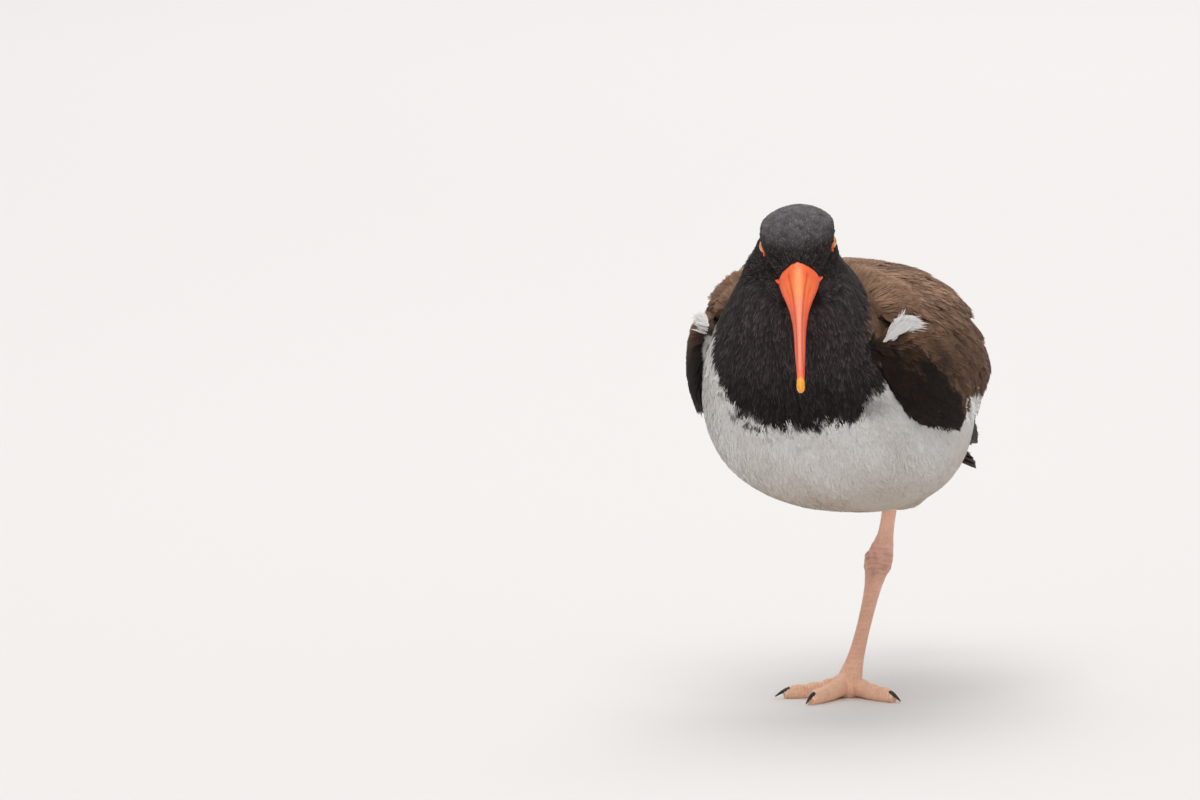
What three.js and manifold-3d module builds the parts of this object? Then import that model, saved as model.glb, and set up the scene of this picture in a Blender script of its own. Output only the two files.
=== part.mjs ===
// A life-size American oystercatcher at rest: it stands on its left leg with the right leg
// drawn up, the neck drawn in, and the head turned to its left with the bill lowered.
//
// Units are millimetres. +Z is up, the bird faces -Y and its left side is +X.
// The origin is on the floor, under the pad of the standing foot.

import * as THREE from "three";
import { mergeVertices } from "three/addons/utils/BufferGeometryUtils.js";
import Module from "manifold-3d";

const wasm = await Module();
wasm.setup();

const rad = THREE.MathUtils.degToRad;
const vec = (x, y, z) => new THREE.Vector3(x, y, z);

// Shared sizes
const GAP = 0.3;
// The body is built round its own midline, then set over the standing foot so that it balances.
const BODY_AT = vec(7.5, -18.5, 2.1);
const MIDLINE_X = -4;
const HEAD_TURN = 22;
const BILL_DROP = 35;
const HEAD_LEAN = 2;
const EYE_CENTRE = vec(2.5, -75, 225);
const LEFT = 1;
const RIGHT = -1;

// Materials
const finish = (color, roughness) => new THREE.MeshStandardMaterial({ color, roughness, metalness: 0 });
const FINISH = {
  hood: finish(0x2b292c, 0.85),
  back: finish(0x5c4233, 0.8),
  belly: finish(0xe9e6e1, 0.85),
  flight: finish(0x3a2a22, 0.75),
  bill: finish(0xf2512a, 0.4),
  iris: finish(0xf0b428, 0.15),
  lid: finish(0xe8622c, 0.5),
  skin: finish(0xeab39a, 0.65),
  claw: finish(0x1d1a1a, 0.4),
};

// Small tools

// A smooth curve through (x, value) pairs, as a function of x.
function curve(xs, values) {
  const last = xs.length - 1;
  const slope = (i) => {
    const a = Math.max(i - 1, 0);
    const b = Math.min(i + 1, last);
    return (values[b] - values[a]) / (xs[b] - xs[a]);
  };
  return (x) => {
    const at = THREE.MathUtils.clamp(x, xs[0], xs[last]);
    let i = 0;
    while (i < last - 1 && at > xs[i + 1]) i += 1;
    const span = xs[i + 1] - xs[i];
    const t = (at - xs[i]) / span;
    const t2 = t * t;
    const t3 = t2 * t;
    return (
      (2 * t3 - 3 * t2 + 1) * values[i] +
      (t3 - 2 * t2 + t) * span * slope(i) +
      (3 * t2 - 2 * t3) * values[i + 1] +
      (t3 - t2) * span * slope(i + 1)
    );
  };
}

// One curve for each named size in a list of stations, all along the same key.
function curves(stations, key) {
  const xs = stations.map((s, i) => (key ? s[key] : i));
  const made = {};
  for (const name of Object.keys(stations[0])) made[name] = curve(xs, stations.map((s) => s[name]));
  return made;
}

// A point on a rounded outline of size 1. Fullness 2 is an ellipse, and more is squarer.
function rounded(angle, fullness) {
  const part = (v) => Math.sign(v) * Math.abs(v) ** (2 / fullness);
  return { across: part(Math.cos(angle)), rise: part(Math.sin(angle)) };
}

// Evenly spaced numbers from a to b.
const steps = (a, b, count) => Array.from({ length: count + 1 }, (_, i) => a + ((b - a) * i) / count);

// A closed body from a list of points and triangles, turned right side out.
function solid(points, faces) {
  const flat = new Float32Array(points.flatMap((p) => [p.x, p.y, p.z]));
  const geometry = new THREE.BufferGeometry()
    .setAttribute("position", new THREE.BufferAttribute(flat, 3))
    .setIndex(faces.flat());
  return solidOf(geometry);
}

function solidOf(geometry) {
  const bare = geometry.clone();
  for (const name of ["normal", "uv"]) bare.deleteAttribute(name);
  const merged = mergeVertices(bare, 1e-4);
  const make = (triVerts) =>
    new wasm.Manifold(
      new wasm.Mesh({ numProp: 3, vertProperties: merged.attributes.position.array, triVerts }),
    );
  const triangles = new Uint32Array(merged.index.array);
  const made = make(triangles);
  return made.volume() < 0 ? make(triangles.reverse()) : made;
}

// A closed body through rings of points, with a fan at each end.
function loft(rings) {
  const count = rings[0].length;
  const points = rings.flat();
  const faces = [];
  for (let i = 0; i < rings.length - 1; i += 1)
    for (let k = 0; k < count; k += 1) {
      const a = i * count + k;
      const b = i * count + ((k + 1) % count);
      faces.push([a, b, b + count], [a, b + count, a + count]);
    }
  [rings[0], rings[rings.length - 1]].forEach((ring, end) => {
    const middle = ring.reduce((sum, p) => sum.add(p), vec(0, 0, 0)).divideScalar(count);
    const centre = points.push(middle) - 1;
    const first = end ? (rings.length - 1) * count : 0;
    for (let k = 0; k < count; k += 1) {
      const a = first + k;
      const b = first + ((k + 1) % count);
      faces.push(end ? [a, b, centre] : [b, a, centre]);
    }
  });
  return solid(points, faces);
}

// A thin plate between two grids of points, split into triangles alike on both faces.
function plate(top, bottom) {
  const rows = top.length;
  const cols = top[0].length;
  const points = [...top.flat(), ...bottom.flat()];
  const at = (i, j, under) => i * cols + j + (under ? rows * cols : 0);
  const faces = [];
  for (let i = 0; i < rows - 1; i += 1)
    for (let j = 0; j < cols - 1; j += 1) {
      faces.push([at(i, j), at(i + 1, j), at(i + 1, j + 1)], [at(i, j), at(i + 1, j + 1), at(i, j + 1)]);
      faces.push([at(i, j, 1), at(i + 1, j + 1, 1), at(i + 1, j, 1)]);
      faces.push([at(i, j, 1), at(i, j + 1, 1), at(i + 1, j + 1, 1)]);
    }
  const border = [
    ...steps(0, cols - 1, cols - 1).map((j) => [0, j]),
    ...steps(1, rows - 1, rows - 2).map((i) => [i, cols - 1]),
    ...steps(cols - 2, 0, cols - 2).map((j) => [rows - 1, j]),
    ...steps(rows - 2, 1, rows - 3).map((i) => [i, 0]),
  ];
  border.forEach(([i, j], n) => {
    const [p, q] = border[(n + 1) % border.length];
    faces.push([at(i, j), at(p, q), at(p, q, 1)], [at(i, j), at(p, q, 1), at(i, j, 1)]);
  });
  return solid(points, faces);
}

const join = (parts) => wasm.Manifold.union(parts);

// The largest closed body of a solid, without loose scraps.
function largest(body) {
  return body.decompose().reduce((best, piece) => (piece.volume() > best.volume() ? piece : best));
}

function mesh(name, body, material) {
  const made = largest(body).getMesh();
  const geometry = new THREE.BufferGeometry()
    .setAttribute("position", new THREE.BufferAttribute(made.vertProperties, 3))
    .setIndex(new THREE.BufferAttribute(made.triVerts, 1));
  geometry.computeVertexNormals();
  const shown = new THREE.Mesh(geometry, material);
  shown.name = name;
  return shown;
}

// Trunk: neck, breast, belly and rump in one skin.
// tilt is how steeply the line from neck to tail falls, in degrees. up reaches to the back and
// down to the belly.
const TRUNK = [
  { y: -66, z: 233.5, tilt: 84, width: 13, up: 13, down: 8 },
  { y: -65, z: 222.5, tilt: 80, width: 19, up: 21, down: 13 },
  { y: -64, z: 209, tilt: 76, width: 25.5, up: 29, down: 22 },
  { y: -58, z: 193, tilt: 68, width: 36.5, up: 38, down: 31 },
  { y: -47, z: 177, tilt: 57, width: 48, up: 49, down: 48 },
  { y: -26, z: 160, tilt: 37, width: 57, up: 55, down: 61 },
  { y: 4, z: 150, tilt: 15, width: 59.5, up: 55, down: 62 },
  { y: 36, z: 144, tilt: 10, width: 55, up: 51, down: 58.5 },
  { y: 66, z: 138, tilt: 12, width: 45, up: 40, down: 49 },
  { y: 92, z: 131, tilt: 16, width: 29, up: 26, down: 31 },
  { y: 112, z: 122, tilt: 19, width: 16, up: 11, down: 15 },
  { y: 130, z: 111, tilt: 20, width: 7, up: 2, down: 4.5 },
];
const TRUNK_SIZES = curves(TRUNK);
const TRUNK_RINGS = 23;
const TRUNK_SIDES = 22;
const TRUNK_FULLNESS = { up: 2.2, down: 2.6 };
const NECK_TOP = 1.75;
const NECK_BASE = 3.6;

function trunkPoint(t, angle, grow = 0) {
  const size = (name) => TRUNK_SIZES[name](t);
  const half = Math.sin(angle) > 0 ? "up" : "down";
  const { across, rise } = rounded(angle, TRUNK_FULLNESS[half]);
  const reach = (size(half) + grow) * rise;
  const tilt = rad(size("tilt"));
  return vec(
    MIDLINE_X + (size("width") + grow) * across,
    size("y") + reach * Math.sin(tilt),
    size("z") + reach * Math.cos(tilt),
  );
}

// The loose feathers round the top of the standing leg bulge out of the belly.
const THIGH = { x: 18, y: 18, z: 107, width: 26, length: 28, height: 20 };

function trunk(grow = 0) {
  const rings = steps(0, TRUNK.length - 1, TRUNK_RINGS).map((t) =>
    steps(0, 2 * Math.PI, TRUNK_SIDES)
      .slice(1)
      .map((angle) => trunkPoint(t, angle, grow)),
  );
  const thigh = new THREE.SphereGeometry(1, 16, 10);
  thigh.scale(THIGH.width + grow, THIGH.length + grow, THIGH.height + grow);
  return loft(rings).add(solidOf(thigh.translate(THIGH.x, THIGH.y, THIGH.z)));
}

// The flat across the trunk at a place along it, as a normal towards the head and its distance.
function trunkCut(t) {
  const tilt = rad(TRUNK_SIZES.tilt(t));
  const normal = vec(0, -Math.cos(tilt), Math.sin(tilt));
  return { normal, offset: normal.dot(vec(0, TRUNK_SIZES.y(t), TRUNK_SIZES.z(t))) };
}

const above = (body, { normal, offset }) => body.trimByPlane(normal.toArray(), offset + GAP / 2);
const below = (body, { normal, offset }) =>
  body.trimByPlane(normal.clone().negate().toArray(), GAP / 2 - offset);

// Head, in its own frame: x to the bird's right, y along the bill, z to the crown, from between the eyes.
// mid is the height of the widest line, which runs through the brow.
const HEAD = [
  { along: -25, top: 1.5, mid: 0, bottom: -2, width: 2 },
  { along: -23.5, top: 4.2, mid: 0, bottom: -7, width: 8.5 },
  { along: -19, top: 7.8, mid: 1, bottom: -11.5, width: 14.8 },
  { along: -10, top: 11.3, mid: 3, bottom: -15, width: 18.8 },
  { along: 0, top: 12.3, mid: 4, bottom: -15, width: 19.2 },
  { along: 8, top: 10.9, mid: 3.5, bottom: -13.4, width: 17 },
  { along: 15, top: 8.1, mid: 1.5, bottom: -11.6, width: 13 },
  { along: 20, top: 5.4, mid: -1, bottom: -10, width: 9.8 },
  { along: 23, top: 3, mid: -3, bottom: -8.6, width: 7 },
];
const HEAD_SIZES = curves(HEAD, "along");
const HEAD_RINGS = 13;
const HEAD_SIDES = 18;

const headFrame = new THREE.Matrix4()
  .makeTranslation(EYE_CENTRE)
  .multiply(new THREE.Matrix4().makeRotationZ(Math.PI + rad(HEAD_TURN)))
  .multiply(new THREE.Matrix4().makeRotationX(-rad(BILL_DROP)))
  .multiply(new THREE.Matrix4().makeRotationY(rad(HEAD_LEAN)));
const inHead = (left, along, up) => vec(-left, along, up).applyMatrix4(headFrame);

// Each eye lies in a shallow hollow under the brow.
const HOLLOW = { along: 0.5, up: -1, depth: 1.9, reach: 6 };
const hollow = (along, up) =>
  HOLLOW.depth * Math.exp(-((along - HOLLOW.along) ** 2 + (up - HOLLOW.up) ** 2) / (2 * HOLLOW.reach ** 2));

function head() {
  const rings = steps(HEAD[0].along, HEAD[HEAD.length - 1].along, HEAD_RINGS).map((along) => {
    const size = (name) => HEAD_SIZES[name](along);
    return steps(0, 2 * Math.PI, HEAD_SIDES)
      .slice(1)
      .map((angle) => {
        const rise = Math.sin(angle);
        const up = size("mid") + rise * Math.abs(size(rise > 0 ? "top" : "bottom") - size("mid"));
        return inHead((size("width") - hollow(along, up)) * Math.cos(angle), along, up);
      });
  });
  return loft(rings);
}

// Eyes
const EYE = { side: 14.3, along: 0.5, up: -0.6, radius: 4.4, lid: 4.3, lidThick: 0.85, lidAt: 2.5 };

const ball = (radius, centre, across = 12, down = 8) =>
  solidOf(new THREE.SphereGeometry(radius, across, down).translate(centre.x, centre.y, centre.z));

const eyeCentre = (hand) => inHead(hand * EYE.side, EYE.along, EYE.up);

function eyeLid(hand, grow = 0) {
  const ring = new THREE.TorusGeometry(EYE.lid, EYE.lidThick + grow, 5, 12);
  ring.rotateY(Math.PI / 2);
  ring.translate(-hand * (EYE.side + EYE.lidAt), EYE.along, EYE.up);
  return solidOf(ring.applyMatrix4(headFrame));
}

// Bill, in the head's frame
const BILL_TIP = 103.5;
const UPPER_BILL = [
  { along: 18, top: 4.6, bottom: -5.6, width: 8.4 },
  { along: 22, top: 4.5, bottom: -5.6, width: 9.6 },
  { along: 27, top: 4, bottom: -5.4, width: 9 },
  { along: 33, top: 3.3, bottom: -5, width: 7.6 },
  { along: 38, top: 2.7, bottom: -4.6, width: 6.3 },
  { along: 45, top: 2, bottom: -4.2, width: 4.7 },
  { along: 54, top: 1.4, bottom: -3.9, width: 3.5 },
  { along: 64, top: 0.9, bottom: -3.7, width: 2.8 },
  { along: 80, top: 0.4, bottom: -3.7, width: 2.3 },
  { along: 90, top: 0.1, bottom: -3.8, width: 1.9 },
  { along: 98, top: -0.4, bottom: -4, width: 1.7 },
  { along: BILL_TIP, top: -2.2, bottom: -4, width: 0.9 },
];
const LOWER_BILL = [
  { along: 17, top: -6.1, bottom: -9.8, width: 6.8 },
  { along: 22, top: -6.1, bottom: -10.6, width: 8.2 },
  { along: 27, top: -5.9, bottom: -10.6, width: 7.8 },
  { along: 33, top: -5.5, bottom: -10.1, width: 6.6 },
  { along: 38, top: -5.1, bottom: -9.7, width: 5.5 },
  { along: 45, top: -4.7, bottom: -9.1, width: 4.2 },
  { along: 54, top: -4.4, bottom: -8.6, width: 3.2 },
  { along: 64, top: -4.2, bottom: -8.2, width: 2.6 },
  { along: 80, top: -4.2, bottom: -7.9, width: 2.1 },
  { along: 94, top: -4.5, bottom: -7.1, width: 1.6 },
  { along: 100, top: -4.7, bottom: -5.7, width: 0.7 },
];
const GAPE = { along: 22, up: -6, root: 6, reach: 11.2, thick: 1.5, sweep: -2 };
const NOSTRIL = { along: 36, up: -0.8, side: 6.4, length: 5.2, height: 0.8, depth: 1.6 };

// One mandible: full in the middle, with the culmen or keel narrower than the cutting edge.
function mandible(stations, isUpper, grow = 0) {
  const sizes = curves(stations, "along");
  const first = stations[0].along - grow;
  const last = stations[stations.length - 1].along + grow;
  const rings = steps(first, last, 15).map((along) => {
    const top = sizes.top(along) + grow;
    const bottom = sizes.bottom(along) - grow;
    const width = sizes.width(along) + grow;
    const [edge, ridge] = isUpper ? [bottom, top] : [top, bottom];
    const outline = [
      [1, 0],
      [0.93, 0.45],
      [0.5, 0.9],
      [0, 1],
    ];
    const half = outline.map(([w, h]) => [w * width, edge + (ridge - edge) * h]);
    const other = half.slice(0, -1).reverse();
    return [...half.map(([w, h]) => inHead(w, along, h)), ...other.map(([w, h]) => inHead(-w, along, h))];
  });
  return loft(rings);
}

function gapeFlange(hand, grow = 0) {
  const rings = steps(0, 1, 4).map((t) => {
    const side = hand * THREE.MathUtils.lerp(GAPE.root, GAPE.reach + grow, t);
    const half = GAPE.thick * (1 - 0.82 * t) + grow;
    return steps(0, 2 * Math.PI, 6)
      .slice(1)
      .map((a) =>
        inHead(side, GAPE.along + GAPE.sweep * t + 2.2 * half * Math.cos(a), GAPE.up + half * Math.sin(a)),
      );
  });
  return loft(rings);
}

function nostril(hand) {
  const slit = new THREE.SphereGeometry(1, 10, 8).scale(NOSTRIL.depth, NOSTRIL.length, NOSTRIL.height);
  slit.translate(-hand * NOSTRIL.side, NOSTRIL.along, NOSTRIL.up);
  return solidOf(slit.applyMatrix4(headFrame));
}

function upperBill(grow = 0) {
  return join([mandible(UPPER_BILL, true, grow), gapeFlange(LEFT, grow), gapeFlange(RIGHT, grow)]);
}

// The wing envelope: the smooth surface that the folded wings and the back feathers lie on.
const ENVELOPE = [
  { y: -80, z: 170, width: 30, height: 22 },
  { y: -66, z: 167, width: 47, height: 36 },
  { y: -45, z: 161, width: 58.5, height: 46 },
  { y: -20, z: 155, width: 63.5, height: 52 },
  { y: 10, z: 151, width: 64, height: 56.5 },
  { y: 40, z: 147, width: 59.5, height: 54 },
  { y: 70, z: 142, width: 46, height: 45 },
  { y: 100, z: 132, width: 32, height: 28 },
  { y: 130, z: 120, width: 20, height: 13 },
  { y: 155, z: 111, width: 12, height: 7 },
  { y: 178, z: 104, width: 7.5, height: 4 },
];
const ENVELOPE_SIZES = curves(ENVELOPE, "y");
const ENVELOPE_FULLNESS = { up: 2.35, down: 2 };

// A point on the envelope. angle is 0 at the side and 90 over the back, in degrees.
function onEnvelope(hand, y, angle, height) {
  const { across, rise } = rounded(rad(angle), angle > 0 ? ENVELOPE_FULLNESS.up : ENVELOPE_FULLNESS.down);
  return vec(
    MIDLINE_X + hand * (ENVELOPE_SIZES.width(y) + height) * across,
    y,
    ENVELOPE_SIZES.z(y) + (ENVELOPE_SIZES.height(y) + height) * rise,
  );
}

const girth = (y) => (rad(1) * (ENVELOPE_SIZES.width(y) + ENVELOPE_SIZES.height(y))) / 2;

// The angle on the envelope of a point seen from the side.
function sideAngle(y, z) {
  const rise = THREE.MathUtils.clamp((z - ENVELOPE_SIZES.z(y)) / ENVELOPE_SIZES.height(y), -1, 1);
  const fullness = rise > 0 ? ENVELOPE_FULLNESS.up : ENVELOPE_FULLNESS.down;
  return Math.sign(rise) * THREE.MathUtils.radToDeg(Math.asin(Math.abs(rise) ** (fullness / 2)));
}

// A vane's half-width along its length, as a share of its widest.
function vaneShape(t) {
  const root = 0.5 + 0.5 * Math.sin((Math.min(t / 0.5, 1) * Math.PI) / 2);
  const tip = t < 0.62 ? 1 : Math.sqrt(Math.max(1 - ((t - 0.62) / 0.4) ** 2, 0));
  return root * tip;
}

// One feather on the envelope: root and tip are [y, angle], low and high its heights there.
function vane(hand, { root, tip, width, low, high, thick, parts, camber = 0.5 }, grow = 0) {
  const length = Math.hypot(tip[0] - root[0], (tip[1] - root[1]) * girth((root[0] + tip[0]) / 2));
  const stretch = grow / length;
  const top = [];
  const bottom = [];
  for (const t of steps(-stretch, 1 + stretch, parts)) {
    const y = THREE.MathUtils.lerp(root[0], tip[0], t);
    const angle = THREE.MathUtils.lerp(root[1], tip[1], t);
    const fall = (tip[1] - root[1]) * girth(y);
    const run = tip[0] - root[0];
    const whole = Math.hypot(run, fall);
    const half = (width / 2) * vaneShape(THREE.MathUtils.clamp(t, 0, 1)) + grow;
    const height = THREE.MathUtils.lerp(low, high, t);
    const row = (lift, hollow) =>
      [-1, 0, 1].map((q) => {
        const py = y - (q * half * fall) / whole;
        const pa = angle + (q * half * run) / whole / girth(y);
        return onEnvelope(hand, py, pa, height + lift + hollow * (q === 0 ? camber : 0));
      });
    top.push(row(grow, 1));
    bottom.push(row(-thick - grow, 1));
  }
  return plate(top, bottom);
}

// A row of feathers whose roots and tips follow two lines of [y, angle] points.
function tier(hand, { roots, tips, count, ...size }, grow = 0) {
  const xs = roots.map((_, i) => i / (roots.length - 1));
  const line = (points, k) => curve(xs, points.map((p) => p[k]));
  const [ry, ra, ty, ta] = [line(roots, 0), line(roots, 1), line(tips, 0), line(tips, 1)];
  return steps(0, 1, count - 1).map((f) => {
    const at = (value) => (Array.isArray(value) ? THREE.MathUtils.lerp(value[0], value[1], f) : value);
    const varied = { ...size, width: at(size.width), low: at(size.low), high: at(size.high) };
    return vane(hand, { ...varied, root: [ry(f), ra(f)], tip: [ty(f), ta(f)] }, grow);
  });
}

const seen = (points) => points.map(([y, z]) => [y, sideAngle(y, z)]);

// The lobe that the wing's feathers are rooted in, from the bend of the wing back to its rump end.
function lobe(hand, { front, back, lower, upper, height, depth, rows, cols }, grow = 0) {
  const lo = curve(lower.map((p) => p[0]), lower.map((p) => p[1]));
  const hi = curve(upper.map((p) => p[0]), upper.map((p) => p[1]));
  const round = (x) => Math.sqrt(1 - (1 - Math.min(x, 1)) ** 2);
  const spread = (count) => steps(0, Math.PI, count).map((a) => (1 - Math.cos(a)) / 2);
  const grid = (lift) =>
    spread(rows).map((u) => {
      const y = THREE.MathUtils.lerp(front - grow, back + grow, u);
      const extra = grow / girth(y);
      return spread(cols).map((v) => {
        const angle = THREE.MathUtils.lerp(lo(y) - extra, hi(y) + extra, v);
        const edge = round(Math.min(u, 1 - u) * 6) * round(Math.min(v, 1 - v) * 5);
        return onEnvelope(hand, y, angle, lift(y, edge));
      });
    });
  return plate(
    grid((y, edge) => height(y) * edge - 1.2 * (1 - edge) + grow),
    grid(() => -depth),
  );
}

// Folded wing: the lobe of small coverts, then coverts, secondaries, tertials and primaries in tiers.
const WING_LOBE = {
  front: -70,
  back: 84,
  lower: [[-70, 5], [-60, -16], [-46, -26], [-32, -25], [-15, -20], [10, -18], [50, -22], [84, -18]],
  upper: [[-70, 14], [-55, 26], [-20, 36], [20, 50], [84, 62]],
  height: curve([-70, -45, -15, 20, 84], [2.2, 4, 3, 0.6, -1.6]),
  depth: 14,
  rows: 8,
  cols: 5,
};
const MEDIAN_COVERTS = {
  roots: seen([[-56, 156], [-42, 164], [-26, 176], [-6, 186]]),
  tips: seen([[-36, 142], [-16, 147], [4, 158], [24, 172]]),
  count: 5, width: 20, low: [1, 1], high: [4.6, 3.8], thick: 3, parts: 3,
};
const GREATER_COVERTS = {
  roots: seen([[-42, 148], [-22, 153], [0, 163], [16, 174]]),
  tips: seen([[-18, 139], [8, 135], [34, 139], [56, 152]]),
  count: 6, width: 21, low: [0.2, -0.8], high: [3.4, 2], thick: 3, parts: 3,
};
const SECONDARIES = {
  roots: seen([[-14, 144], [4, 147], [22, 151]]),
  tips: seen([[26, 128], [50, 124], [74, 122]]),
  count: 5, width: 17, low: [-1.8, -2.4], high: [1.2, 0.8], thick: 2, parts: 3,
};
const TERTIALS = {
  roots: [[14, 34], [18, 48], [24, 62], [30, 74]],
  tips: [[92, 14], [106, 32], [118, 52], [128, 70]],
  count: 4, width: [24, 26], low: -1.8, high: [1.4, 2.6], thick: 1.6, parts: 4,
};
const PRIMARIES = {
  roots: seen([[40, 131], [48, 134], [54, 138]]),
  tips: seen([[106, 114], [134, 110], [158, 107]]),
  count: 5, width: [17, 15], low: [-3.4, -2.4], high: [-1, 0.6], thick: 1.4, parts: 4,
};

function wing(hand, lower, upper) {
  const feathers = [PRIMARIES, SECONDARIES, TERTIALS, GREATER_COVERTS, MEDIAN_COVERTS];
  const whole = join([lobe(hand, WING_LOBE), ...feathers.flatMap((sizes) => tier(hand, sizes))]);
  const ownSide = whole.trimByPlane([hand, 0, 0], hand * MIDLINE_X + GAP / 2);
  return ownSide.subtract(lower).subtract(upper);
}

// Mantle: the saddle of back feathers and the scapulars that lie over the top of each wing.
const MANTLE_LOBE = {
  front: -54,
  back: 88,
  lower: [[-54, 40], [-40, 34], [-20, 36], [20, 46], [60, 60], [88, 80]],
  upper: [[-54, 140], [-40, 146], [-20, 144], [20, 134], [60, 120], [88, 100]],
  height: curve([-54, -40, -15, 20, 60, 88], [3.8, 5.2, 4, 3.2, 2, 1]),
  depth: 12,
  rows: 8,
  cols: 8,
};
const SCAPULARS = [
  {
    roots: [[-44, 58], [-26, 60], [-4, 66], [16, 72]],
    tips: [[-24, 26], [4, 29], [36, 38], [64, 56]],
    count: 5, width: 25, low: 1, high: [5, 3.8], thick: 3.4, parts: 3,
  },
  {
    roots: [[-34, 76], [-14, 78], [8, 81], [30, 86]],
    tips: [[-14, 46], [12, 50], [42, 62], [86, 76]],
    count: 4, width: 27, low: 1.5, high: [5.6, 4], thick: 3.4, parts: 3,
  },
];

function mantle(grow = 0) {
  const sides = [LEFT, RIGHT].flatMap((hand) => SCAPULARS.flatMap((sizes) => tier(hand, sizes, grow)));
  return join([lobe(LEFT, MANTLE_LOBE, grow), ...sides]);
}

// Tail: six pairs of feathers, the middle pair on top, under the upper tail coverts.
const TAIL = {
  pairs: 6, root: vec(0, 88, 126), length: 66, slope: 20, spread: 11, width: 13, thick: 1.1, drop: 0.62,
};
const TAIL_COVERTS = { width: 15, length: 27, height: 7.5, behind: 14, sunk: 1.6 };

// One tail feather, straight and slightly hollow below. Number 0 is a middle feather.
function tailFeather(hand, number, grow = 0) {
  const turn = rad(hand * (0.5 + (number * TAIL.spread) / (TAIL.pairs - 1)));
  const fall = rad(TAIL.slope);
  const down = -TAIL.drop * (number + (hand === RIGHT ? 0.5 : 0));
  const along = vec(Math.sin(turn), Math.cos(turn) * Math.cos(fall), -Math.cos(turn) * Math.sin(fall));
  const over = vec(0, Math.sin(fall), Math.cos(fall));
  const aside = vec().crossVectors(along, over).normalize();
  const length = TAIL.length - 1.1 * number;
  const start = TAIL.root.clone().setX(MIDLINE_X).addScaledVector(over, down);
  start.addScaledVector(aside, hand * (1.5 + number * 1.1));
  const rows = (lift) =>
    steps(-grow / length, 1 + grow / length, 3).map((t) => {
      const half = (TAIL.width / 2) * vaneShape(THREE.MathUtils.clamp(t, 0, 1)) + grow;
      const middle = start.clone().addScaledVector(along, t * length);
      return [-1, 0, 1].map((q) =>
        middle
          .clone()
          .addScaledVector(aside, q * half)
          .addScaledVector(over, lift - 0.5 * Math.abs(q)),
      );
    });
  return plate(rows(grow), rows(-TAIL.thick - grow));
}

function tailCoverts(grow = 0) {
  const fall = rad(TAIL.slope);
  const { width, length, height, behind, sunk } = TAIL_COVERTS;
  const centre = TAIL.root.clone().setX(MIDLINE_X);
  centre.add(vec(0, behind * Math.cos(fall), -behind * Math.sin(fall) - sunk));
  const shape = new THREE.SphereGeometry(1, 14, 8).scale(width + grow, length + grow, height + grow);
  shape.rotateX(-fall).translate(centre.x, centre.y, centre.z);
  return solidOf(shape);
}

function tail(grow = 0) {
  const feathers = [LEFT, RIGHT].flatMap((hand) =>
    steps(0, TAIL.pairs - 1, TAIL.pairs - 1).map((number) => tailFeather(hand, number, grow)),
  );
  return join([...feathers, tailCoverts(grow)]);
}

// Legs. A limb is a tube of round sections through points with radii.
function limb(stations, sides = 10, perSpan = 2, grow = 0) {
  const sizes = curves(stations);
  const at = (t) => vec(sizes.x(t), sizes.y(t), sizes.z(t));
  const last = stations.length - 1;
  const rings = steps(0, last, last * perSpan).map((t) => {
    const ahead = at(Math.min(t + 0.05, last)).sub(at(Math.max(t - 0.05, 0))).normalize();
    const across = vec().crossVectors(vec(0, 1, 0), ahead).normalize();
    const front = vec().crossVectors(ahead, across);
    return steps(0, 2 * Math.PI, sides)
      .slice(1)
      .map((a) =>
        at(t)
          .addScaledVector(across, (sizes.wide(t) + grow) * Math.cos(a))
          .addScaledVector(front, (sizes.deep(t) + grow) * Math.sin(a)),
      );
  });
  return loft(rings);
}

const LEG = [
  { x: 26.8, y: -11, z: 105, wide: 5, deep: 6 },
  { x: 23.8, y: -6.8, z: 93, wide: 3.5, deep: 4 },
  { x: 18.9, y: 0.9, z: 79.5, wide: 3.7, deep: 4.2 },
  { x: 14.8, y: 6.1, z: 70.2, wide: 5.8, deep: 5.6 },
  { x: 11.8, y: 8.6, z: 63.5, wide: 6.9, deep: 6.8 },
  { x: 10.7, y: 8.2, z: 57.5, wide: 5, deep: 5.6 },
  { x: 9, y: 7, z: 48, wide: 3.7, deep: 4 },
  { x: 5.8, y: 4.8, z: 32, wide: 3.3, deep: 3.7 },
  { x: 3, y: 3, z: 19, wide: 4, deep: 4 },
  { x: 1, y: 1.2, z: 10, wide: 5.8, deep: 5 },
  { x: 0, y: -1, z: 5, wide: 6.8, deep: 6 },
];
const ANKLE_TOP_Z = 72;
const ANKLE_BOTTOM_Z = 55;
const FOOT_TOP_Z = 12;

const level = (z) => ({ normal: vec(0, 0, 1), offset: z });
const floor = { normal: vec(0, 0, 1), offset: -GAP / 2 };

// Toes: turn is from straight ahead, positive to the bird's left.
const TOES = {
  inner: { turn: -52, length: 32, root: 4.3, end: 3.4 },
  middle: { turn: -7, length: 38, root: 4.7, end: 3.6 },
  outer: { turn: 63, length: 33, root: 4.5, end: 3.4 },
};
const TOE_START = 12.5;
const CLAW = { length: 7, root: 1.7, tip: 0.35 };
const SOLE_SHARE = 0.78;

function toePoint(turn, distance, z) {
  const a = rad(turn);
  return { x: distance * Math.sin(a), y: -distance * Math.cos(a), z };
}

function toe({ turn, length, root, end }) {
  const knuckles = 4;
  const stations = steps(0, 1, knuckles * 2).map((t, i) => {
    const size = THREE.MathUtils.lerp(root, end, t) * (i % 2 ? 0.93 : 1.04) * (t === 1 ? 0.55 : 1);
    const lift = (1 - t) ** 3 * 3.4;
    const z = size * SOLE_SHARE + lift;
    return { ...toePoint(turn, THREE.MathUtils.lerp(2, length, t), z), wide: size, deep: size };
  });
  return limb(stations, 10, 1);
}

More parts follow.
